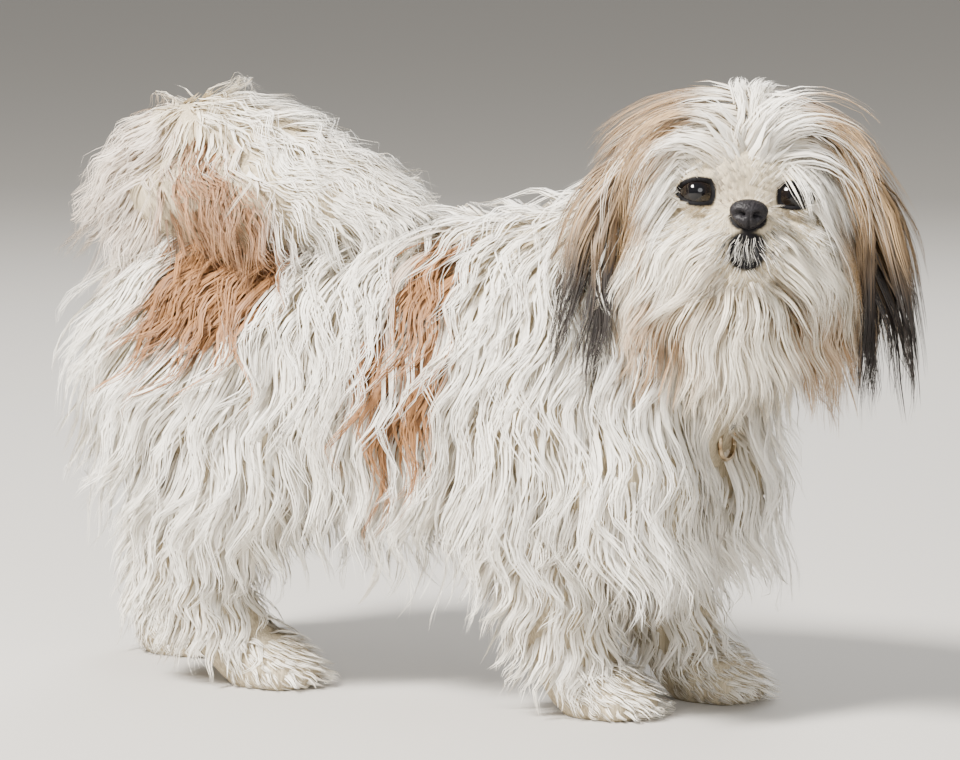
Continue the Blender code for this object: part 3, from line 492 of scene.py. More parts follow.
def grow(bed, roots, coat, lie, seed, windows=(), length=None):
    """The middle line of each lock, from its root on the bed along the lie, with its waves."""
    chance = np.random.default_rng(seed)
    count, steps = len(roots), coat.points - 1
    own = np.full(count, coat.length) if length is None else coat.length * length(roots)
    own = own * chance.uniform(0.82, 1.12, count)
    high = coat.depth * chance.uniform(0.35, 1.25, count)
    at, out, _ = bed.nearest(roots)
    point = at - out * coat.sink
    heading = unit(lie(at, out, 0.0) + out * coat.rise)
    lines, outs = [point], [out]
    for k in range(1, steps + 1):
        share = k / steps
        way = unit(lie(at, out, share))
        way = way - out * np.minimum(0.0, (way * out).sum(axis=1))[:, None]
        heading = unit(heading * coat.stiff + way)
        point = point + heading * (own / steps)[:, None]
        at, out, over = bed.nearest(point)
        wanted = high * min(1.0, 3.0 * share) - coat.sink * max(0.0, 1.0 - 4.0 * share)
        lifted = at + out * wanted[:, None]
        point = np.where((over < wanted)[:, None], lifted, point)
        for window in windows:
            point = window(point)
        point[:, 2] = np.maximum(point[:, 2], FLOOR_CLEAR + 0.002)
        lines.append(point)
        outs.append(out)
    lines, outs = np.stack(lines, axis=1), np.stack(outs, axis=1)
    for _ in range(2):
        lines[:, 1:-1] = 0.5 * lines[:, 1:-1] + 0.25 * (lines[:, :-2] + lines[:, 2:])
    sides = unit(np.cross(np.gradient(lines, axis=1), outs))
    waved = with_waves(lines, outs, sides, coat, own, chance)
    return Locks(waved, outs, sides, roots)


def with_waves(lines, outs, sides, coat, own, chance):
    """Waves that neighbouring locks share in part, growing towards the tips."""
    count, points = lines.shape[:2]
    share = np.linspace(0.0, 1.0, points)
    start = 2.2 * ripple(lines[:, 0], 14.0, 5) - 2.0 * math.pi * lines[:, 0, 2] / coat.wavelength
    start = start + chance.normal(0.0, 0.5, count)
    turns = 2.0 * math.pi * own / coat.wavelength * chance.uniform(0.88, 1.14, count)
    swing = start[:, None] + turns[:, None] * share
    height = coat.wave * chance.uniform(0.5, 1.5, count)[:, None] * smooth_step(0.0, 0.95, share) * 1.15
    across = height * (np.sin(swing) - np.sin(start)[:, None] * (1.0 - share))
    lift = 0.35 * height * (1.0 + np.cos(swing))
    return lines + sides * across[..., None] + outs * lift[..., None]


def strands(locks, coat, count, points, width, loose, seed):
    """Single ribbons or hairs of the locks: lines, ways out, widths and the lock each belongs to."""
    chance = np.random.default_rng(seed)
    total = len(locks.lines) * count
    pick = np.repeat(np.arange(len(locks.lines)), count)
    held = locks.lines.shape[1] - 1
    share = np.linspace(0.0, 1.0, points)
    reach = 1.04 - 0.42 * chance.random(total) ** 1.8
    place = np.minimum(share[None, :] * reach[:, None], 1.0) * held
    index = np.minimum(place.astype(int), held - 1)
    part = (place - index)[..., None]

    def along(table):
        return table[pick[:, None], index] * (1.0 - part) + table[pick[:, None], index + 1] * part

    lines, outs, sides = along(locks.lines), along(locks.outs), along(locks.sides)
    turn, far = chance.uniform(0.0, 2.0 * math.pi, total), np.sqrt(chance.random(total))
    open_by = coat.radius * ((1.0 - coat.tidy) + coat.tidy * (1.0 - share**1.4)) * (1.0 + loose * share)
    across = (far * np.cos(turn))[:, None] * open_by
    above = (far * np.sin(turn))[:, None] * open_by * 0.22
    stray = loose * coat.wave * chance.uniform(0.1, 0.9, total)[:, None] * share
    swing = chance.uniform(0, 2 * math.pi, total)[:, None] + chance.uniform(3.0, 9.0, total)[:, None] * share
    across = across + stray * np.sin(swing)
    above = above + stray * np.cos(swing) * 0.6
    lines = lines + sides * across[..., None] + unit(outs) * above[..., None]
    lines[..., 2] = np.maximum(lines[..., 2], FLOOR_CLEAR)
    widths = width * chance.uniform(0.7, 1.25, total)
    return lines, unit(outs), widths, pick, chance.uniform(-0.4, 0.4, total), far * np.cos(turn)


def taper(points):
    """Width along a strand as a share of its full width, without its tip, which is a point."""
    share = np.linspace(0.0, 1.0, points)[:-1]
    return (0.55 + 0.45 * np.sin(np.pi * np.minimum(1.0, share * 1.5 + 0.08))) * (1.0 - share**2.2) ** 0.8


def strand_arrays(lines, outs, widths, twists, leans, flat):
    """Corners, ways they face and faces of closed strands with a flat three-cornered section."""
    count, points = lines.shape[:2]
    along = unit(np.gradient(lines, axis=1))
    side = unit(np.cross(along, outs))
    above = np.cross(side, along)
    turned = side * np.cos(twists)[:, None, None] + above * np.sin(twists)[:, None, None]
    ridge = above * np.cos(twists)[:, None, None] - side * np.sin(twists)[:, None, None]
    half = (widths[:, None] / 2 * taper(points))[..., None]
    body = lines[:, :-1]
    left = body + turned[:, :-1] * half - ridge[:, :-1] * half * flat * 0.4
    top = body + ridge[:, :-1] * half * flat
    right = body - turned[:, :-1] * half - ridge[:, :-1] * half * flat * 0.4
    rings = np.stack([left, top, right], axis=2).reshape(count, -1, 3)
    corners = np.concatenate([rings, lines[:, -1:]], axis=1)
    tilt = LOCK_ROUND * leans[:, None, None] * side
    facing = [above + tilt + edge * side for edge in (STRAND_ROUND, 0.0, -STRAND_ROUND)]
    facing = np.stack([way[:, :-1] for way in facing], axis=2).reshape(count, -1, 3)
    facing = unit(np.concatenate([facing, (above + tilt)[:, -1:]], axis=1))
    quads, tip = [], 3 * (points - 1)
    for k in range(points - 2):
        low, high = 3 * k, 3 * k + 3
        quads += [(low + a, high + a, high + (a + 1) % 3, low + (a + 1) % 3) for a in range(3)]
    last = tip - 3
    tips = [(last + a, tip, last + (a + 1) % 3) for a in range(3)] + [(0, 1, 2)]
    return corners, facing, np.array(quads), np.array(tips)


def strand_mesh(name, parts):
    """One mesh from parts of (corners, facing, quads, tips, colours, roots on the unwrap, strand coordinates)."""
    coords, colours, marks, quads, tips, quad_uv, tip_uv = [], [], [], [], [], [], []
    quad_facing, tip_facing = [], []
    start = 0
    for corners, facing, quad, tip, colour, root_uv, mark in parts:
        count, each = corners.shape[:2]
        offset = start + np.arange(count)[:, None, None] * each
        coords.append(corners.reshape(-1, 3))
        under = np.where(np.arange(len(quad)) % 3 == 2, -1.0, 1.0)
        quad_facing.append((facing[:, quad] * under[:, None, None]).reshape(-1, 3))
        under = np.array([1.0, 1.0, -1.0, 1.0])
        tip_facing.append((facing[:, tip] * under[:, None, None]).reshape(-1, 3))
        colours.append(colour.reshape(-1, 4))
        marks.append(mark.reshape(-1, 3))
        quads.append((quad[None] + offset).reshape(-1, 4))
        tips.append((tip[None] + offset).reshape(-1, 3))
        ring = np.minimum(np.arange(each) // 3, each // 3)
        within = np.stack([(np.arange(each) % 3) / 2.0, ring / (each // 3)], axis=1) * 0.003
        uv = root_uv[:, None] + within[None]
        quad_uv.append(uv[:, quad].reshape(-1, 2))
        tip_uv.append(uv[:, tip].reshape(-1, 2))
        start += count * each
    coords, quads, tips = np.concatenate(coords), np.concatenate(quads), np.concatenate(tips)
    mesh = bpy.data.meshes.new(name)
    mesh.vertices.add(len(coords))
    mesh.vertices.foreach_set("co", (coords + np.array(SHIFT)).astype(np.float32).ravel())
    mesh.loops.add(quads.size + tips.size)
    mesh.loops.foreach_set("vertex_index", np.concatenate([quads.ravel(), tips.ravel()]).astype(np.int32))
    mesh.polygons.add(len(quads) + len(tips))
    starts = np.concatenate([4 * np.arange(len(quads)), quads.size + 3 * np.arange(len(tips))])
    mesh.polygons.foreach_set("loop_start", starts.astype(np.int32))
    mesh.polygons.foreach_set("use_smooth", np.ones(len(starts), bool))
    uv = np.concatenate([np.concatenate(quad_uv), np.concatenate(tip_uv)])
    layer = mesh.uv_layers.new(name="OFBake")
    layer.data.foreach_set("uv", uv.astype(np.float32).ravel())
    # Per-point colours: the hair's markings, and its painted shade towards the roots
    tint = mesh.attributes.new("hair_colour_and_shade", "FLOAT_COLOR", "POINT")
    tint.data.foreach_set("color", np.concatenate(colours).astype(np.float32).ravel())
    strand = mesh.attributes.new("strand", "FLOAT_VECTOR", "POINT")
    strand.data.foreach_set("vector", np.concatenate(marks).astype(np.float32).ravel())
    mesh.update(calc_edges=True)
    mesh.normals_split_custom_set(np.concatenate(quad_facing + tip_facing).astype(np.float32))
    made = bpy.data.objects.new(name, mesh)
    bpy.context.scene.collection.objects.link(made)
    return made


def coat_part(locks, coat, count, points, width, flat, loose, paint, unwrap, seed):
    lines, outs, widths, pick, twists, leans = strands(locks, coat, count, points, width, loose, seed)
    corners, facing, quads, tips = strand_arrays(lines, outs, widths, twists, leans, flat)
    chance = np.random.default_rng(seed + 1)
    shade = chance.normal(0.0, 1.0, len(locks.lines))[pick] * 0.6 + chance.normal(0.0, 1.0, len(pick)) * 0.6
    middle = lines[:, points // 2]
    share = np.linspace(0.0, 1.0, points)
    colour = paint(locks.roots[pick], middle, lines, share, shade)
    full = np.ones((*colour.shape[:2], 4))
    full[..., :3] = np.clip(colour, 0.004, 0.95)
    ringed = np.repeat(full[:, :-1], 3, axis=1)
    full = np.concatenate([ringed, full[:, -1:]], axis=1)
    mark = np.empty((*full.shape[:2], 3))
    mark[:, :-1, 0] = np.tile([-1.0, 0.0, 1.0], points - 1)
    mark[:, -1, 0] = 0.0
    mark[..., 1] = np.concatenate([np.repeat(share[:-1], 3), share[-1:]])
    mark[..., 2] = chance.uniform(0.0, 60.0, len(pick))[:, None]
    return corners, facing, quads, tips, full, unwrap(locks.roots[pick]), mark


def triangles(parts):
    return sum(len(p[0]) * (2 * len(p[2]) + len(p[3])) for p in parts)


def cut_part(part, low, high):
    corners, facing, quads, tips, *rest = part
    return corners[low:high], facing[low:high], quads, tips, *(table[low:high] for table in rest)


def add_coat(name, parts, material, nodes):
    """The parts as pieces that each stay under the limit of triangles."""
    pieces = math.ceil(triangles(parts) / QUAD_BUDGET)
    for n in range(pieces):
        shares = []
        for part in parts:
            count = len(part[0])
            shares.append(cut_part(part, count * n // pieces, count * (n + 1) // pieces))
        made = strand_mesh(f"{name}_{n + 1}" if pieces > 1 else name, shares)
        made.data.materials.append(material)
        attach(made, "root")
        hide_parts(*nodes)


# The lie of the coat


def side_of(across):
    return np.where(across > 0.0, 1.0, -1.0)


def body_lie(points, outs, share):
    """Parted along the spine, down both sides, back over the hips and forward over the chest."""
    x = points[:, 0]
    lean = np.interp(x, (-0.20, -0.12, -0.04, 0.04, 0.10, 0.15), (-0.42, -0.40, 0.02, -0.20, 0.05, 0.35))
    lean = (lean + 0.22 * ripple(points, 26.0, 11)) * (1.0 - 0.85 * np.abs(outs[:, 0]))
    ridge = smooth_step(0.034, 0.008, np.abs(points[:, 1])) * smooth_step(0.55, 0.90, outs[:, 2]) * (1.0 - 0.6 * share)
    across = side_of(points[:, 1] + 0.007 * ripple(points, 90.0, 15)) * (0.04 + 0.9 * np.maximum(0.0, outs[:, 2]))
    across = across * (1.0 - 0.60 * ridge)
    return np.stack([lean - 1.1 * ridge, across, np.full(len(x), -1.0)], axis=1) + 0.04 * outs


def leg_lie(points, outs, share):
    lean = 0.30 * ripple(points, 40.0, 12)
    way = np.stack([lean - 0.06, 0.25 * ripple(points, 40.0, 13), np.full(len(points), -1.0)], axis=1)
    return way + 0.34 * outs


def paw_lie(points, outs, share):
    way = np.tile([0.75, 0.0, -0.55], (len(points), 1))
    return way + 0.25 * outs


def tail_lie(points, outs, share):
    """Back and down where the tail rises, along it to its end on top, and more and more down."""
    bone = np.array([ring[:3] for ring in TAIL_BONE])
    gaps = np.linalg.norm(points[:, None] - bone[None], axis=2)
    way = unit(np.gradient(bone, axis=0))[gaps.argmin(axis=1)]
    front = smooth_step(-0.185, -0.140, points[:, 0])[:, None]
    far = smooth_step(-0.120, -0.060, points[:, 0])[:, None]
    fall = np.array([0.0, 0.0, -0.55 - 0.35 * share]) * (1.0 - 0.55 * far)
    back = np.array([-0.26, 0.0, -0.12]) * (1.0 - front)
    swirl = np.stack([ripple(points, 60.0, 20 + k) + 0.8 * ripple(points, 170.0, 24 + k) for k in range(3)], axis=1)
    return (0.70 + 0.35 * far) * way * front + back + 0.15 * outs + fall + 0.42 * swirl


def in_head(way):
    """A lie given in the head's own frame."""

    def lie(points, outs, share):
        return turn_from_head(way(to_head(points), turn_to_head(outs), share))

    return lie


def crown_way(own, outs, share):
    """Up from between the eyes like a fountain, over to both sides and down past the eyes."""
    across = np.abs(own[:, 1])
    front = smooth_step(-0.010, 0.032, own[:, 0]) * smooth_step(0.064, 0.034, own[:, 2])
    first = math.radians(84.0) - math.radians(66.0) * front
    turn = first + (math.radians(176.0) - first) * smooth_step(0.0, 0.046, across) ** 0.8
    over_eye = np.exp(-(((across - EYE_AT[1]) / 0.012) ** 2)) * smooth_step(0.034, 0.026, own[:, 2])
    turn = np.minimum(turn + math.radians(30.0) * front * over_eye, math.radians(178.0))
    forward = 0.16 * front * np.cos(turn) - 0.05
    side = side_of(from_parting(own))
    return np.stack([forward, side * np.sin(turn), np.cos(turn)], axis=1)


def from_parting(own):
    """How far a place on the crown lies to the left of the wandering parting."""
    return own[:, 1] + 0.0045 * ripple(own, 130.0, 14) + 0.014 * smooth_step(-0.004, -0.034, own[:, 0])


def parting_way(own, outs, share):
    """Up the forehead and back along the parting, with some hair to either side."""
    across = 0.25 * side_of(from_parting(own)) + 0.9 * ripple(own, 210.0, 15)
    way = np.stack([np.full(len(own), -0.75), across, np.full(len(own), 0.8 - 1.1 * share)], axis=1)
    return way - outs * (way * outs).sum(axis=1)[:, None]


def face_way(own, outs, share):
    """Up from the bridge of the nose between the eyes, and out and down under them."""
    side = side_of(own[:, 1])
    high = smooth_step(-0.002, 0.010, own[:, 2])
    across = side * (0.30 + 16.0 * np.abs(own[:, 1]))
    return np.stack([np.full(len(own), 0.20), across, 1.3 * high - 0.65], axis=1)


def brow_way(own, outs, share):
    side = side_of(own[:, 1])
    return np.stack([np.full(len(own), 0.40 - 0.40 * share), side * 0.30, np.full(len(own), -1.0)], axis=1)


def moustache_way(own, outs, share):
    side = side_of(own[:, 1])
    across = side * np.clip(1.0 - 16.0 * np.abs(own[:, 1]), 0.12, 1.0) * (1.0 - 0.7 * share)
    forward = np.full(len(own), 0.10 - 0.55 * share)
    return np.stack([forward, across, np.full(len(own), -0.45 - 0.5 * share)], axis=1)


def whisker_way(own, outs, share):
    """A fan from the nose down over the lips."""
    across = np.clip(110.0 * own[:, 1], -1.3, 1.3) * (1.0 - 0.6 * share)
    return np.stack([np.full(len(own), 0.25 - 0.3 * share), across, np.full(len(own), -1.0)], axis=1)


def beard_way(own, outs, share):
    across = 7.0 * own[:, 1] * (1.0 - 0.8 * share) + 0.26 * ripple(own, 70.0, 16)
    return np.stack([np.full(len(own), 0.04 - 0.14 * share), across, np.full(len(own), -1.0)], axis=1)


def ear_way(own, outs, share):
    side = side_of(own[:, 1])
    across = side * (0.02 + 0.42 * (1.0 - share) ** 3)
    return np.stack([np.full(len(own), -0.03), across, np.full(len(own), -1.0)], axis=1)


# Where each kind of coat grows


def level(points, centre, radii):
    return np.linalg.norm((points - np.array(centre)) / np.array(radii), axis=-1)


def near_leg(points):
    found = np.zeros(len(points), bool)
    for table, side, step in LEGS:
        top, foot = table[0][2], table[-1][2]
        heights = [ring[2] for ring in table][::-1]
        places = [ring[0] + step * ((top - ring[2]) / (top - foot)) ** 1.3 for ring in table][::-1]
        x = np.interp(points[:, 2], heights, places)
        beside = (np.abs(points[:, 0] - x) < 0.050) & (points[:, 1] * side > 0.004)
        found |= beside & (points[:, 2] < 0.122)
    return found


def in_other_form(points):
    """Inside the head or the plume, where no hair of the body grows."""
    head = level(to_head(points), (-0.002, 0.0, -0.012), (0.050, 0.056, 0.066)) < 1.0
    plume = level(points, (-0.108, -0.016, 0.287), (0.086, 0.034, 0.026)) < 1.0
    return head | plume


def on_belly(points, outs):
    return (outs[:, 2] < -0.55) & (points[:, 2] < 0.16)


def body_roots(points, outs):
    return ~near_leg(points) & ~in_other_form(points) & ~on_belly(points, outs)


def belly_roots(points, outs):
    return ~near_leg(points) & on_belly(points, outs)


def on_paw(points):
    return points[:, 2] < 0.030


def leg_roots(points, outs):
    return near_leg(points) & ~on_paw(points)


def paw_roots(points, outs):
    return near_leg(points) & on_paw(points) & (outs[:, 2] > -0.3) & (points[:, 2] > 0.004)


def tail_roots(points, outs):
    return points[:, 2] > 0.234


def eye_gap(own):
    return np.linalg.norm(own - np.stack([np.full(len(own), EYE_AT[0]), side_of(own[:, 1]) * EYE_AT[1],
                                          np.full(len(own), EYE_AT[2])], axis=1), axis=1)


def lid_turn(own):
    """How far up or down a point lies from the middle of its eye, in degrees."""
    return np.abs(np.degrees(np.arctan2(own[:, 2] - EYE_AT[2], own[:, 0] - EYE_AT[0])))


def crown_zone(own):
    return ((own[:, 2] > 0.0245) | (own[:, 0] < 0.018)) & (own[:, 2] > -0.022)


def face_zone(own):
    return ~crown_zone(own) & (own[:, 2] > -0.004) & (own[:, 0] > 0.016)


def moustache_zone(own):
    front = (own[:, 0] > 0.028) & (own[:, 2] > -0.034) & (own[:, 2] <= -0.004)
    return front & ~crown_zone(own)


def mouth_zone(own):
    return (np.abs(own[:, 1]) < 0.011) & (own[:, 2] < -0.008) & (own[:, 2] > -0.034) & (own[:, 0] > 0.035)


def crown_roots(points, outs):
    own = to_head(points)
    return crown_zone(own) & (np.abs(own[:, 1]) < 0.054)


def parting_roots(points, outs):
    own = to_head(points)
    return crown_zone(own) & (np.abs(from_parting(own)) < 0.0055) & (own[:, 0] > -0.020)


def face_roots(points, outs):
    own = to_head(points)
    in_eye = (eye_gap(own) < 0.0140) & (lid_turn(own) < 44.0)
    clear = ~in_eye & (level(own, NOSE_AT, NOSE_RADII) > 1.15)
    around = (own[:, 2] > -0.040) & (own[:, 0] > 0.012) & ~crown_zone(own) & ~(mouth_zone(own) & (own[:, 2] > -0.0265))
    brow = (own[:, 2] > 0.020) & (own[:, 2] < 0.052) & (own[:, 0] > 0.006) & (np.abs(own[:, 1]) < 0.032)
    return (face_zone(own) | around | brow) & clear


def brow_roots(points, outs):
    """Over the outer corners of the eyes, and half over the dog's left eye."""
    own = to_head(points)
    inner = np.where(own[:, 1] > 0.0, 0.0195, 0.0300)
    wide = (np.abs(own[:, 1]) > inner) & (np.abs(own[:, 1]) < 0.040)
    return wide & (own[:, 2] > 0.0250) & (own[:, 2] < 0.0350) & (own[:, 0] > 0.014)


def mouth_roots(points, outs):
    own = to_head(points)
    return mouth_zone(own) & (own[:, 2] > -0.0215)


def moustache_roots(points, outs):
    own = to_head(points)
    return moustache_zone(own) & ~mouth_zone(own) & (level(own, NOSE_AT, NOSE_RADII) > 1.2)


def beard_roots(points, outs):
    own = to_head(points)
    low = ~crown_zone(own) & ~face_zone(own) & ~moustache_zone(own)
    return low & ~mouth_zone(own) & ((own[:, 0] > -0.02) | (np.abs(own[:, 1]) > 0.03))


def ear_roots(points, outs):
    own = to_head(points)
    return (np.abs(own[:, 1]) > 0.054) & (own[:, 2] > -0.024)


def window(side, centre, radii):
    """Keeps hair out of the space in front of an eye."""
    middle, reach = np.array(mirrored(centre, side)), np.array(radii)

    def keep(points):
        own = to_head(points)
        far = level(own, middle, reach)
        pushed = middle + (own - middle) / np.maximum(far, 0.15)[:, None]
        back = pushed @ HEAD[:3, :3].T + HEAD[:3, 3]
        return np.where((far < 1.0)[:, None], back, points)

    return keep


def clear_of_ring():
    """Parts the hair to both sides of the ring of the collar, as seen from in front of it."""
    low, high = (np.array(corner) - np.array(SHIFT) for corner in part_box("collar_ring"))
    middle = (low + high) / 2
    view = unit(RING_VIEW * (1.0, 1.0, 0.0))
    across = np.array((-view[1], view[0], 0.0))

    def keep(points):
        off = points - middle
        beside = off @ across
        half = RING_GAP[0] * np.sqrt(np.maximum(0.0, 1.0 - (off[:, 2] / RING_GAP[1]) ** 2))
        moved = points + across * (side_of(beside) * half - beside)[:, None]
        inside = (np.abs(beside) < half) & (off @ view > -0.008)
        return np.where(inside[:, None], moved, points)

    return keep


# Markings and painted shade, as colours along each strand


def mix(a, b, share):
    return np.asarray(a) * (1.0 - share[..., None]) + np.asarray(b) * share[..., None]


def patch(points, centre, along, radii, seed):
    """How far points are inside a patch on the dog's side, from 0 to 1, with a ragged edge."""
    off = points[..., [0, 2]] - np.array(centre)
    way = np.array(along) / np.linalg.norm(along)
    far = np.hypot(off @ way / radii[0], off @ np.array([way[1], -way[0]]) / radii[1])
    return smooth_step(1.18, 0.86, far + 0.20 * ripple(points, 55.0, seed))


def tan_share(points):
    near = smooth_step(0.012, -0.012, points[..., 1])
    hip = patch(points, (-0.116, 0.234), (0.55, 0.84), (0.060, 0.037), 31)
    flank = patch(points, (0.004, 0.186), (0.16, 0.98), (0.064, 0.026), 32)
    far_side = patch(points, (-0.040, 0.205), (0.50, 0.86), (0.060, 0.042), 33)
    return np.maximum(np.maximum(hip, flank) * near, far_side * (1.0 - near))


def white_hair(share, shade):
    # Painted shade: each strand darkens towards its root, for the shade deep in the coat between the strands
    root = smooth_step(0.45, 0.0, share)[None, :] * 0.75
    pale = mix(WHITE, CREAM, np.clip(0.10 + 0.10 * shade, 0.0, 0.5))[:, None, :]
    return pale * (1.0 - root[..., None]) + np.asarray(PAINTED_SHADE) * root[..., None]


def tan_hair(share, shade):
    tone = np.clip(0.45 + 0.30 * shade[:, None] + 0.30 * share[None, :], 0.0, 1.0)
    return mix(TAN_DEEP, TAN_LIGHT, tone)


def body_paint(roots, middle, lines, share, shade):
    tan = smooth_step(0.30, 0.70, tan_share(middle) + 0.20 * shade * (tan_share(middle) > 0.02))
    on_flank = smooth_step(-0.060, -0.030, roots[:, 0])
    tan *= 1.0 - 0.9 * on_flank * smooth_step(0.35, 0.50, ripple(roots, 150.0, 34))
    return white_hair(share, shade) * (1.0 - tan[:, None, None]) + tan_hair(share, shade) * tan[:, None, None]


def leg_paint(roots, middle, lines, share, shade):
    return white_hair(share, shade + 0.8)


def tail_paint(roots, middle, lines, share, shade):
    """Cream at the back, with the tan of the hip running up under the white of the plume."""
    limit = 0.294 - 0.42 * (middle[:, 0] + 0.128)
    low = smooth_step(0.006, -0.006, middle[:, 2] - limit + 0.010 * ripple(middle, 50.0, 41))
    back = smooth_step(-0.120, -0.160, middle[:, 0] + 0.02 * ripple(middle, 40.0, 42))
    end = smooth_step(-0.150, -0.185, middle[:, 0] + 0.02 * ripple(middle, 40.0, 42))
    tan = low * smooth_step(-0.062, -0.082, middle[:, 0]) * (0.95 - 0.55 * end)
    cream = 0.55 * back * (1.0 - low)
    base = white_hair(share, shade)
    base = mix(base, CREAM, np.repeat(cream[:, None], len(share), axis=1))
    return base * (1.0 - tan[:, None, None]) + tan_hair(share, shade) * tan[:, None, None]


def fawn_hair(share, shade, points):
    grey = np.clip(0.30 + 0.35 * ripple(points, 90.0, 51) + 0.35 * shade, 0.0, 1.0)
    tone = mix(mix(FAWN, FAWN_GREY, grey), WHITE, 0.55 * smooth_step(0.7, 1.3, -shade))
    return tone[:, None, :] * (0.85 + 0.25 * share[None, :, None])


def crown_paint(roots, middle, lines, share, shade):
    own = to_head(lines)
    limit = 0.026 + 0.021 * smooth_step(0.070, 0.010, own[..., 2]) - 0.016 * smooth_step(-0.010, -0.040, own[..., 0])
    wide = np.abs(own[..., 1]) + 0.005 * ripple(roots, 60.0, 52)[:, None] + 0.005 * shade[:, None]
    return mix(white_hair(share, shade), fawn_hair(share, shade, roots), smooth_step(-0.004, 0.008, wide - limit))


def ear_paint(roots, middle, lines, share, shade):
    own = to_head(lines)
    low = smooth_step(-0.008, -0.036, own[..., 2] + 0.010 * shade[:, None])
    outer = smooth_step(0.058, 0.068, np.abs(own[..., 1]) + 0.004 * ripple(roots, 80.0, 53)[:, None])
    return mix(fawn_hair(share, shade, roots), BLACK, low * outer)


def face_paint(roots, middle, lines, share, shade):
    own = to_head(roots)
    # Painted shade: the short hair down the middle of the face, between and below the eyes, is darkened towards the
    # shade colour
    bridge_shade = 0.50 * smooth_step(0.030, 0.006, np.abs(own[:, 1])) * smooth_step(0.034, 0.018, own[:, 2])
    base = mix(white_hair(share, shade), PAINTED_SHADE, np.repeat(bridge_shade[:, None], len(share), axis=1))
    corner = np.exp(-((level(np.abs(own), (0.036, 0.0125, 0.009), (0.020, 0.0045, 0.0060))) ** 2))
    return mix(base, FAWN_GREY, np.repeat(0.65 * corner[:, None], len(share), axis=1))


def whisker_paint(roots, middle, lines, share, shade):
    dark = np.clip(0.80 + 0.8 * shade[:, None] - 0.40 * share[None, :], 0.0, 1.0)
    return mix(white_hair(share, shade), LEATHER, 1.0 - (1.0 - dark) ** 2.4)


def beard_paint(roots, middle, lines, share, shade):
    own, low = to_head(roots), to_head(middle)
    base = mix(white_hair(share, shade), CREAM, np.full((len(roots), len(share)), 0.35))
    cheek = smooth_step(0.020, 0.040, np.abs(low[:, 1])) * smooth_step(-0.036, -0.062, low[:, 2])
    tan = np.clip(cheek * 0.8 + 0.3 * ripple(roots, 70.0, 54), 0.0, 1.0) * (shade < 0.9)
    dark = mix(FAWN, TAN_LIGHT, np.full(len(roots), 0.35))
    throat = smooth_step(0.018, 0.0, own[:, 0])
    return mix(base, dark[:, None, :], np.repeat(np.maximum(tan, 0.4 * throat)[:, None], len(share), axis=1))


# Unwraps of the skin's own shape, for the patch of each tuft


def span(values, low, high):
    return np.clip((values - low) / (high - low), 0.0, 1.0)


def unwrap_round(axis, low, high, middle, frame_of=None):
    """Round one axis and along it."""
    others = [k for k in range(3) if k != axis]

    def unwrap(points):
        own = frame_of(points) if frame_of else points
        turn = np.arctan2(own[:, others[1]] - middle[1], own[:, others[0]] - middle[0])
        u = 0.004 + 0.985 * (turn / (2.0 * math.pi) + 0.5)
        return np.stack([u, 0.004 + 0.985 * span(own[:, axis], low, high)], axis=1)

    return unwrap


body_unwrap = unwrap_round(0, -0.25, 0.20, (0.0, 0.17))
tail_unwrap = unwrap_round(0, -0.24, 0.02, (-0.02, 0.285))
head_unwrap = unwrap_round(2, -0.12, 0.08, (-0.005, 0.0), to_head)


def leg_unwrap(points):
    """Each of the four legs in a quarter of its own."""
    right, hind = points[:, 1] < 0.0, points[:, 0] < 0.0
    x = points[:, 0] - np.where(hind, np.where(right, -0.125, -0.19), np.where(right, 0.082, 0.105))
    turn = np.arctan2(points[:, 1] - np.where(right, -0.045, 0.045), x) / (2.0 * math.pi) + 0.5
    u = 0.5 * right + 0.004 + 0.485 * turn
    v = 0.5 * hind + 0.004 + 0.485 * span(points[:, 2], 0.0, 0.13)
    return np.stack([u, v], axis=1)


# Finishes


def plain_material(name):
    made = bpy.data.materials.new(name)
    made.use_nodes = True
    return made, made.node_tree.nodes, made.node_tree.links, made.node_tree.nodes["Principled BSDF"]


def noise_node(nodes, scale, detail):
    made = nodes.new("ShaderNodeTexNoise")
    made.inputs["Scale"].default_value = scale
    made.inputs["Detail"].default_value = detail
    return made


def hair_material(name):
    """Hair tinted by the colours along each strand, painted shade at the roots included, with fine streaks that run
    along each strand.
    """
    made, nodes, links, shader = plain_material(name)
    colour = nodes.new("ShaderNodeAttribute")
    colour.attribute_name = "hair_colour_and_shade"
    strand = nodes.new("ShaderNodeAttribute")
    strand.attribute_name = "strand"
    stretch = nodes.new("ShaderNodeMapping")
    stretch.inputs["Scale"].default_value = (2.6, 1.6, 1.0)
    links.new(strand.outputs["Vector"], stretch.inputs["Vector"])
    streaks = noise_node(nodes, 1.0, 3.0)
    links.new(stretch.outputs["Vector"], streaks.inputs["Vector"])
    tone = nodes.new("ShaderNodeMapRange")
    tone.inputs["From Min"].default_value = 0.3
    tone.inputs["From Max"].default_value = 0.7
    tone.inputs["To Min"].default_value = 0.78
    tone.inputs["To Max"].default_value = 1.08
    links.new(streaks.outputs["Fac"], tone.inputs["Value"])
    tinted = nodes.new("ShaderNodeVectorMath")
    tinted.operation = "SCALE"
    links.new(colour.outputs["Color"], tinted.inputs[0])
    links.new(tone.outputs["Result"], tinted.inputs["Scale"])
    links.new(tinted.outputs["Vector"], shader.inputs["Base Color"])
    bump = nodes.new("ShaderNodeBump")
    bump.inputs["Strength"].default_value = 0.45
    bump.inputs["Distance"].default_value = 0.0004
    links.new(streaks.outputs["Fac"], bump.inputs["Height"])
    links.new(bump.outputs["Normal"], shader.inputs["Normal"])
    shader.inputs["Roughness"].default_value = 0.46
    shader.inputs["Specular IOR Level"].default_value = 0.35
    return made


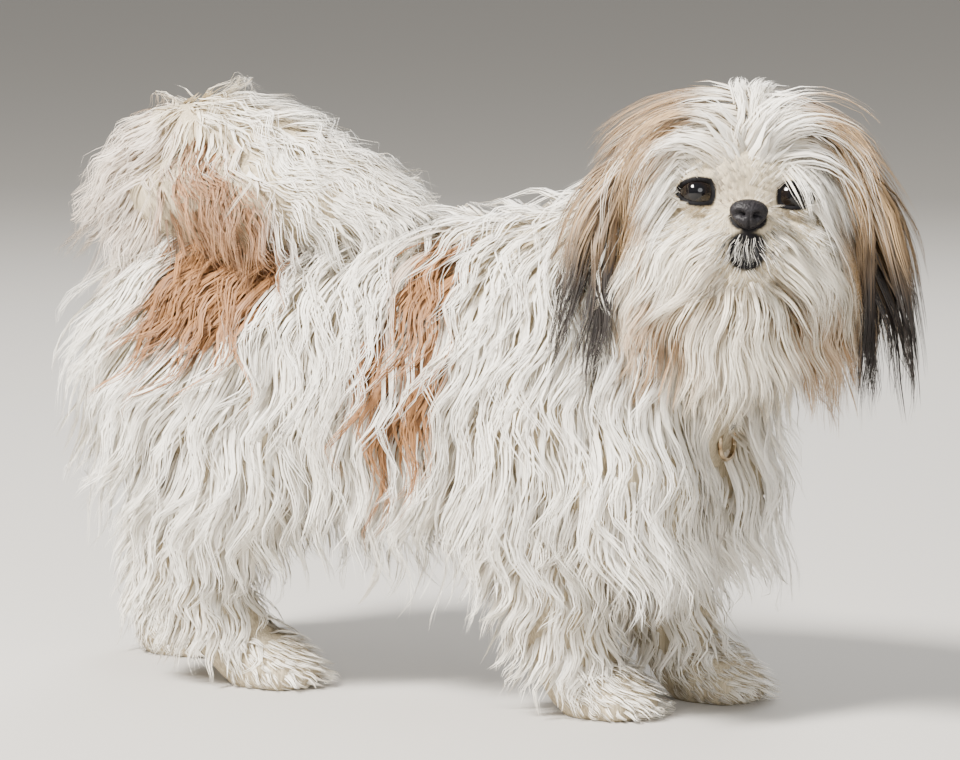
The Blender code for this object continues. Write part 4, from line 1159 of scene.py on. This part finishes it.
def skin_material():
    made, nodes, links, shader = plain_material("skin")
    colour = nodes.new("ShaderNodeAttribute")
    # The skin's colours include painted shade for the gaps between locks
    colour.attribute_name = "skin_colour_and_shade"
    place = nodes.new("ShaderNodeNewGeometry")
    stretch = nodes.new("ShaderNodeMapping")
    stretch.inputs["Scale"].default_value = (1.0, 1.0, 0.07)
    links.new(place.outputs["Position"], stretch.inputs["Vector"])
    grain = noise_node(nodes, 900.0, 3.0)
    links.new(stretch.outputs["Vector"], grain.inputs["Vector"])
    tone = nodes.new("ShaderNodeMapRange")
    tone.inputs["From Min"].default_value = 0.3
    tone.inputs["From Max"].default_value = 0.7
    tone.inputs["To Min"].default_value = 0.60
    tone.inputs["To Max"].default_value = 1.15
    links.new(grain.outputs["Fac"], tone.inputs["Value"])
    tinted = nodes.new("ShaderNodeVectorMath")
    tinted.operation = "SCALE"
    links.new(colour.outputs["Color"], tinted.inputs[0])
    links.new(tone.outputs["Result"], tinted.inputs["Scale"])
    links.new(tinted.outputs["Vector"], shader.inputs["Base Color"])
    bump = nodes.new("ShaderNodeBump")
    bump.inputs["Strength"].default_value = 0.5
    bump.inputs["Distance"].default_value = 0.0005
    links.new(grain.outputs["Fac"], bump.inputs["Height"])
    links.new(bump.outputs["Normal"], shader.inputs["Normal"])
    shader.inputs["Roughness"].default_value = 0.62
    shader.inputs["Specular IOR Level"].default_value = 0.08
    return made


def leather_material():
    """Moist nose leather with its pebbled grain."""
    made, nodes, links, shader = plain_material("nose_leather")
    place = nodes.new("ShaderNodeNewGeometry")
    cells = nodes.new("ShaderNodeTexVoronoi")
    cells.inputs["Scale"].default_value = 900.0
    links.new(place.outputs["Position"], cells.inputs["Vector"])
    ramp = nodes.new("ShaderNodeValToRGB")
    ramp.color_ramp.elements[0].color = (0.016, 0.014, 0.016, 1)
    ramp.color_ramp.elements[1].color = (0.006, 0.0055, 0.007, 1)
    links.new(cells.outputs["Distance"], ramp.inputs["Fac"])
    links.new(ramp.outputs["Color"], shader.inputs["Base Color"])
    bump = nodes.new("ShaderNodeBump")
    bump.invert = True
    bump.inputs["Strength"].default_value = 0.80
    bump.inputs["Distance"].default_value = 0.0004
    links.new(cells.outputs["Distance"], bump.inputs["Height"])
    links.new(bump.outputs["Normal"], shader.inputs["Normal"])
    shader.inputs["Roughness"].default_value = 0.50
    shader.inputs["Specular IOR Level"].default_value = 0.20
    shader.inputs["Coat Weight"].default_value = 0.04
    shader.inputs["Coat Roughness"].default_value = 0.30
    return made


def eye_material():
    made, nodes, links, shader = plain_material("eye")
    colour = nodes.new("ShaderNodeAttribute")
    colour.attribute_name = "eye_colour"
    links.new(colour.outputs["Color"], shader.inputs["Base Color"])
    shader.inputs["Roughness"].default_value = 0.10
    shader.inputs["Specular IOR Level"].default_value = 0.15
    shader.inputs["Coat Weight"].default_value = 0.5
    shader.inputs["Coat Roughness"].default_value = 0.02
    return made


def claw_material():
    made, nodes, links, shader = plain_material("claw")
    place = nodes.new("ShaderNodeNewGeometry")
    grain = noise_node(nodes, 420.0, 2.0)
    links.new(place.outputs["Position"], grain.inputs["Vector"])
    ramp = nodes.new("ShaderNodeValToRGB")
    ramp.color_ramp.elements[0].color = (0.09, 0.065, 0.05, 1)
    ramp.color_ramp.elements[1].color = (0.30, 0.23, 0.18, 1)
    links.new(grain.outputs["Fac"], ramp.inputs["Fac"])
    links.new(ramp.outputs["Color"], shader.inputs["Base Color"])
    shader.inputs["Roughness"].default_value = 0.35
    return made


def webbing_material():
    """Woven black strap."""
    made, nodes, links, shader = plain_material("webbing")
    place = nodes.new("ShaderNodeTexCoord")
    weave = nodes.new("ShaderNodeTexChecker")
    weave.inputs["Scale"].default_value = 900.0
    weave.inputs["Color1"].default_value = (0.012, 0.012, 0.014, 1)
    weave.inputs["Color2"].default_value = (0.030, 0.029, 0.031, 1)
    links.new(place.outputs["Object"], weave.inputs["Vector"])
    links.new(weave.outputs["Color"], shader.inputs["Base Color"])
    bump = nodes.new("ShaderNodeBump")
    bump.inputs["Strength"].default_value = 0.6
    bump.inputs["Distance"].default_value = 0.0004
    links.new(weave.outputs["Fac"], bump.inputs["Height"])
    links.new(bump.outputs["Normal"], shader.inputs["Normal"])
    shader.inputs["Roughness"].default_value = 0.72
    return made


def brass_material():
    """Worn bronze-coloured metal."""
    made, nodes, links, shader = plain_material("brass")
    place = nodes.new("ShaderNodeTexCoord")
    wear = noise_node(nodes, 300.0, 4.0)
    links.new(place.outputs["Object"], wear.inputs["Vector"])
    ramp = nodes.new("ShaderNodeValToRGB")
    ramp.color_ramp.elements[0].position = 0.35
    ramp.color_ramp.elements[0].color = (0.20, 0.13, 0.07, 1)
    ramp.color_ramp.elements[1].position = 0.65
    ramp.color_ramp.elements[1].color = (0.52, 0.40, 0.25, 1)
    links.new(wear.outputs["Fac"], ramp.inputs["Fac"])
    links.new(ramp.outputs["Color"], shader.inputs["Base Color"])
    shader.inputs["Metallic"].default_value = 1.0
    shader.inputs["Roughness"].default_value = 0.28
    return made


def floor_material():
    made, nodes, links, shader = plain_material("floor")
    shader.inputs["Base Color"].default_value = (0.46, 0.44, 0.41, 1)
    shader.inputs["Roughness"].default_value = 0.85
    return made


# Pieces


def own_piece(made, material, nodes):
    made.data.transform(Matrix.Translation(SHIFT))
    made.data.materials.clear()
    made.data.materials.append(material)
    made.data.polygons.foreach_set("use_smooth", np.ones(len(made.data.polygons), bool))
    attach(made, "root")
    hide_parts(*nodes)
    return made


def points_of(made):
    co = np.empty(len(made.data.vertices) * 3)
    made.data.vertices.foreach_get("co", co)
    return co.reshape(-1, 3)


def tint(made, name, colours):
    full = np.ones((len(colours), 4), np.float32)
    full[:, :3] = colours
    made.data.attributes.new(name, "FLOAT_COLOR", "POINT").data.foreach_set("color", full.ravel())


def skin_colours(points):
    own = to_head(points)
    # Painted shade: under the coat the skin takes the tone of hair in shade, and deep tan under the tan patches, so
    # gaps between locks read as shaded hair
    pale = mix(CREAM, PAINTED_SHADE, np.full(len(points), 0.5)) * 0.75
    plume = level(points, (-0.108, -0.016, 0.287), (0.125, 0.064, 0.056)) < 1.0
    colour = mix(pale, TAN_DEEP, tan_share(points) * ~plume)
    in_head_form = level(own, (0.0, 0.0, -0.01), (0.075, 0.062, 0.065)) < 1.0
    ear = smooth_step(0.050, 0.056, np.abs(own[:, 1])) * (level(own, (0, 0, 0), (0.05, 0.1, 0.09)) < 1.0)
    colour = mix(colour, FAWN_GREY, ear)
    lid = smooth_step(0.0136, 0.0124, eye_gap(own)) * smooth_step(44.0, 39.0, lid_turn(own))
    mouth = level(own, (0.058, 0.0, -0.019), (0.020, 0.0112, 0.0116))
    lips = smooth_step(1.15, 0.85, mouth)
    wings = smooth_step(1.20, 1.06, level(own, NOSE_AT, NOSE_RADII))
    return mix(colour, LEATHER, np.maximum(np.maximum(lid, lips), wings) * in_head_form)


FLESH = (
    "torso", "neck", "head", "ear_left", "ear_right", "tail",
    "front_leg_right", "front_leg_left", "hind_leg_right", "hind_leg_left",
)


def make_skin():
    parts = [
        body_form("body_skin", SKIN_SHARE, 0.0030, 6),
        head_form("head_skin", False, 0.0011, 3),
        tail_form("tail_skin", SKIN_SHARE, 0.0030, 3),
        ear_form("ear_skin_left", 1, 0.0),
        ear_form("ear_skin_right", -1, 0.0),
    ]
    bm = bmesh.new()
    for part in parts:
        bm.from_mesh(part.data)
        bpy.data.objects.remove(part, do_unlink=True)
    low = [vert for vert in bm.verts if vert.co.z < 0.0]
    for vert in low:
        vert.co.z = 0.0
    made = new_object("skin", bm)
    tint(made, "skin_colour_and_shade", skin_colours(points_of(made)))
    return own_piece(made, skin_material(), FLESH)


def make_eye(side_name, side, finish):
    bm = bmesh.new()
    bmesh.ops.create_uvsphere(bm, u_segments=48, v_segments=36, radius=EYE_RADIUS)
    bm.transform(Matrix.Rotation(math.pi / 2, 4, "Y"))
    for vert in bm.verts:
        if vert.co.x > 0:
            bulge = math.exp(-((vert.co.y**2 + vert.co.z**2) / 0.0055**2))
            vert.co.x += 0.0009 * bulge
    face_out = Matrix.Rotation(math.radians(side * 10), 4, "Z")
    made = new_object(f"eyeball_{side_name}", bm)
    points = points_of(made)
    off = np.hypot(points[:, 1], points[:, 2])
    rays = 0.5 + 0.5 * np.sin(24.0 * np.arctan2(points[:, 2], points[:, 1]))
    iris = mix((0.0035, 0.0022, 0.0018), (0.006, 0.0034, 0.0025), rays)
    colour = mix((0.002, 0.002, 0.003), iris, smooth_step(0.0042, 0.0048, off))
    rim = np.maximum(smooth_step(0.0076, 0.0084, off), (points[:, 0] < 0).astype(float))
    tint(made, "eye_colour", mix(colour, (0.012, 0.009, 0.008), rim))
    made.data.transform(head_frame() @ Matrix.Translation(mirrored(EYE_AT, side)) @ face_out)
    return own_piece(made, finish, [f"eye_{side_name}"])


def make_nose(finish):
    bm = bmesh.new()
    bmesh.ops.create_uvsphere(bm, u_segments=80, v_segments=56, radius=1.0)
    made = new_object("nose_pad", bm)
    unit_points = points_of(made)
    fwd, left, up = unit_points.T
    sunk = np.zeros(len(fwd))
    for side in (1, -1):
        for way, depth, wide in (((0.82, 0.44, -0.16), 0.55, 0.22), ((0.70, 0.66, -0.10), 0.34, 0.17),
                                 ((0.55, 0.80, -0.22), 0.20, 0.14)):
            way = np.array(mirrored(way, side))
            gap = np.linalg.norm(unit_points - way / np.linalg.norm(way), axis=1)
            sunk += depth * np.exp(-((gap / wide) ** 2))
    groove = np.exp(-((left / 0.055) ** 2)) * smooth_step(0.15, -0.25, up) * (fwd > 0)
    radius = 1.0 - sunk - 0.14 * groove
    shaped = unit_points * radius[:, None]
    shaped[:, 1] *= 1.0 + 0.16 * up - 0.10 * (up < 0) * np.abs(up)
    shaped[:, 2] *= np.where(up > 0, 0.88, 1.06)
    shaped[:, 0] *= np.where(fwd > 0, 0.84, 1.10)
    shaped = shaped * np.array(NOSE_RADII) * 0.92 + np.array(NOSE_AT)
    made.data.vertices.foreach_set("co", shaped.astype(np.float32).ravel())
    made.data.transform(head_frame())
    return own_piece(made, finish, ["nose"])


def make_claws(finish):
    bm = bmesh.new()
    for table, side, step in LEGS:
        x, y = paw_at(table, side, step)
        for k in range(4):
            toe = toe_at(x, y, k)
            tip = Vector((toe[0] + 0.0135, toe[1], 0.0035))
            rings = []
            for n in range(5):
                share = n / 4
                at = Vector((toe[0] + 0.006 + 0.0075 * share, toe[1], 0.0075 - 0.0035 * share * share))
                width = 0.0015 * (1 - 0.75 * share)
                rings.append((at, width, width * 1.4, width))
            loft_small(bm, rings, tip)
    made = new_object("claws", bm)
    return own_piece(made, finish, [])


def loft_small(bm, rings, tip):
    loops = []
    for at, side, up, down in rings:
        loop = []
        for k in range(8):
            turn = 2 * math.pi * k / 8
            rise = up if math.sin(turn) > 0 else down
            loop.append(bm.verts.new(at + Vector((0, side * math.cos(turn), rise * math.sin(turn)))))
        loops.append(loop)
    for low, high in zip(loops, loops[1:]):
        for k in range(8):
            bm.faces.new((low[k], low[(k + 1) % 8], high[(k + 1) % 8], high[k]))
    end = bm.verts.new(tip)
    for k in range(8):
        bm.faces.new((loops[-1][k], loops[-1][(k + 1) % 8], end))
    bm.faces.new(loops[0])


def groom(bed, kind, wanted, lie, paint, unwrap, seed, windows=(), lowest=None, fewer=1.0):
    """Ribbons and fine hairs of one kind of coat over the part of the bed that is wanted."""
    coat = COATS[kind]
    roots = bed.scatter(coat.spacing * fewer, wanted, seed)

    def length(points):
        if lowest is None:
            return np.ones(len(points))
        return np.clip(1.08 * (points[:, 2] - lowest) / coat.length, 0.35, 1.0)

    locks = grow(bed, roots, coat, lie, seed + 1, windows, length)
    parts = []
    if coat.ribbons:
        parts.append(coat_part(locks, coat, coat.ribbons, coat.points, coat.ribbon_width, 0.14, 0.0,
                               paint, unwrap, seed + 2))
    thin_points = max(5, coat.points - 2)
    if coat.hairs:
        parts.append(coat_part(locks, coat, coat.hairs, thin_points, coat.hair_width, 0.6, 0.7, paint, unwrap, seed + 4))
    return parts


def make_coat():
    hair = hair_material("hair")
    body_bed = Bed(body_form("body_bed", BED_SHARE, 0.0050, 6))
    head_bed_form = head_form("head_bed", True, 0.0025, 4)
    ear_beds = [ear_form(f"ear_bed_{side}", side, 0.003) for side in (1, -1)]
    head_bed = Bed(head_bed_form, *ear_beds)
    ear_bed = Bed(*ear_beds)
    face_bed = Bed(head_form("face_bed", False, 0.0015, 3))
    tail_bed = Bed(tail_form("tail_bed", BED_SHARE, 0.0040, 3))
    windows = (
        window(-1, (0.056, 0.0230, 0.0105), (0.034, 0.0080, 0.0068)),
        window(1, (0.056, 0.0195, 0.0108), (0.034, 0.0050, 0.0055)),
    )
    ring = (clear_of_ring(),)
    body = groom(body_bed, "body", body_roots, body_lie, body_paint, body_unwrap, 100, ring, 0.060)
    body += groom(body_bed, "body", belly_roots, body_lie, body_paint, body_unwrap, 120, ring, 0.060, 1.3)
    body += groom(body_bed, "under", body_roots, body_lie, body_paint, body_unwrap, 140, ring)
    add_coat("coat_body", body, hair, ["torso", "neck"])
    legs = [name for name in FLESH if "leg" in name]
    leg = groom(body_bed, "leg", leg_roots, leg_lie, leg_paint, leg_unwrap, 200, lowest=0.006)
    leg += groom(body_bed, "under", leg_roots, leg_lie, leg_paint, leg_unwrap, 240, lowest=0.006)
    add_coat("coat_legs", leg, hair, legs)
    add_coat("coat_paws", groom(body_bed, "paw", paw_roots, paw_lie, leg_paint, leg_unwrap, 300),
             hair, legs)
    tail = groom(tail_bed, "tail", tail_roots, tail_lie, tail_paint, tail_unwrap, 400)
    tail += groom(tail_bed, "under", tail_roots, tail_lie, tail_paint, tail_unwrap, 440)
    add_coat("coat_tail", tail, hair, ["tail"])
    crown = groom(head_bed, "crown", crown_roots, in_head(crown_way), crown_paint, head_unwrap, 500, windows)
    crown += groom(head_bed, "under", crown_roots, in_head(crown_way), crown_paint, head_unwrap, 540, windows,
                   fewer=0.68)
    crown += groom(head_bed, "part", parting_roots, in_head(parting_way), crown_paint, head_unwrap, 580, windows)
    add_coat("coat_crown", crown, hair, ["head"])
    face = groom(face_bed, "face", face_roots, in_head(face_way), face_paint, head_unwrap, 600, windows)
    face += groom(face_bed, "whisker", mouth_roots, in_head(whisker_way), whisker_paint, head_unwrap, 650)
    balls = [window(side, EYE_AT, (0.0142,) * 3) for side in (1, -1)]
    face += groom(face_bed, "brow", brow_roots, in_head(brow_way), face_paint, head_unwrap, 670, balls)
    add_coat("coat_face", face, hair, ["head"])
    beard = groom(head_bed, "beard", moustache_roots, in_head(moustache_way), beard_paint, head_unwrap, 700, windows)
    beard += groom(head_bed, "beard", beard_roots, in_head(beard_way), beard_paint, head_unwrap, 800)
    beard += groom(head_bed, "stray", crown_roots, in_head(crown_way), crown_paint, head_unwrap, 880, windows)
    add_coat("coat_beard", beard, hair, ["head"])
    add_coat("coat_ears", groom(ear_bed, "ear", ear_roots, in_head(ear_way), ear_paint, head_unwrap, 900),
             hair, ["ear_left", "ear_right"])
    for made in list(bpy.data.objects):
        if "_bed" in made.name:
            bpy.data.objects.remove(made, do_unlink=True)


def finish_cad_nodes():
    """The strap and the ring keep their solids and get better finishes."""
    for name, finish in (("collar", webbing_material()), ("collar_ring", brass_material())):
        node = frame["nodes"][name]
        for held in node.material_slots:
            held.material = finish


def add_light(name, at, aim, size, power, colour=(1, 1, 1)):
    lamp = bpy.data.lights.new(name, "AREA")
    lamp.shape = "DISK"
    lamp.size = size
    lamp.energy = power
    lamp.color = colour
    made = bpy.data.objects.new(name, lamp)
    bpy.context.scene.collection.objects.link(made)
    made.location = at
    made.rotation_euler = (Vector(aim) - Vector(at)).to_track_quat("-Z", "Y").to_euler()


def make_studio():
    bpy.ops.mesh.primitive_plane_add(size=44.0, location=(0, 0, 0))
    floor = bpy.context.object
    floor.name = "floor"
    floor.data.materials.append(floor_material())
    add_light("key", (-0.8, -1.7, 2.2), (0, 0, 0.15), 0.7, 370.0, (1.0, 0.965, 0.91))
    add_light("fill", (2.0, -1.8, 1.2), (0, 0, 0.15), 1.6, 40.0, (0.98, 0.99, 1.0))
    add_light("rim", (-0.6, 2.0, 1.8), (0, 0, 0.2), 1.2, 60.0)
    world = bpy.data.worlds.new("studio")
    world.use_nodes = True
    world.node_tree.nodes["Background"].inputs["Color"].default_value = (0.95, 0.93, 0.89, 1)
    world.node_tree.nodes["Background"].inputs["Strength"].default_value = 0.52
    bpy.context.scene.world = world


def make_camera():
    """The photograph's view: 27 degrees round towards the head and 6.7 degrees above the floor."""
    aim = Vector((0.0, 0.029, 0.17)) + SHIFT
    turn, rise, far = math.radians(27.0), math.radians(6.7), 2.8
    way = Vector((math.sin(turn) * math.cos(rise), -math.cos(turn) * math.cos(rise), math.sin(rise)))
    lens = bpy.data.cameras.new("camera")
    lens.lens = 187.5
    lens.sensor_width = 36.0
    lens.clip_end = 50.0
    made = bpy.data.objects.new("camera", lens)
    bpy.context.scene.collection.objects.link(made)
    made.location = aim + far * way
    made.rotation_euler = (-way).to_track_quat("-Z", "Y").to_euler()
    bpy.context.scene.camera = made


make_skin()
eye_finish = eye_material()
make_eye("left", 1, eye_finish)
make_eye("right", -1, eye_finish)
make_nose(leather_material())
make_claws(claw_material())
make_coat()
finish_cad_nodes()
make_studio()
make_camera()
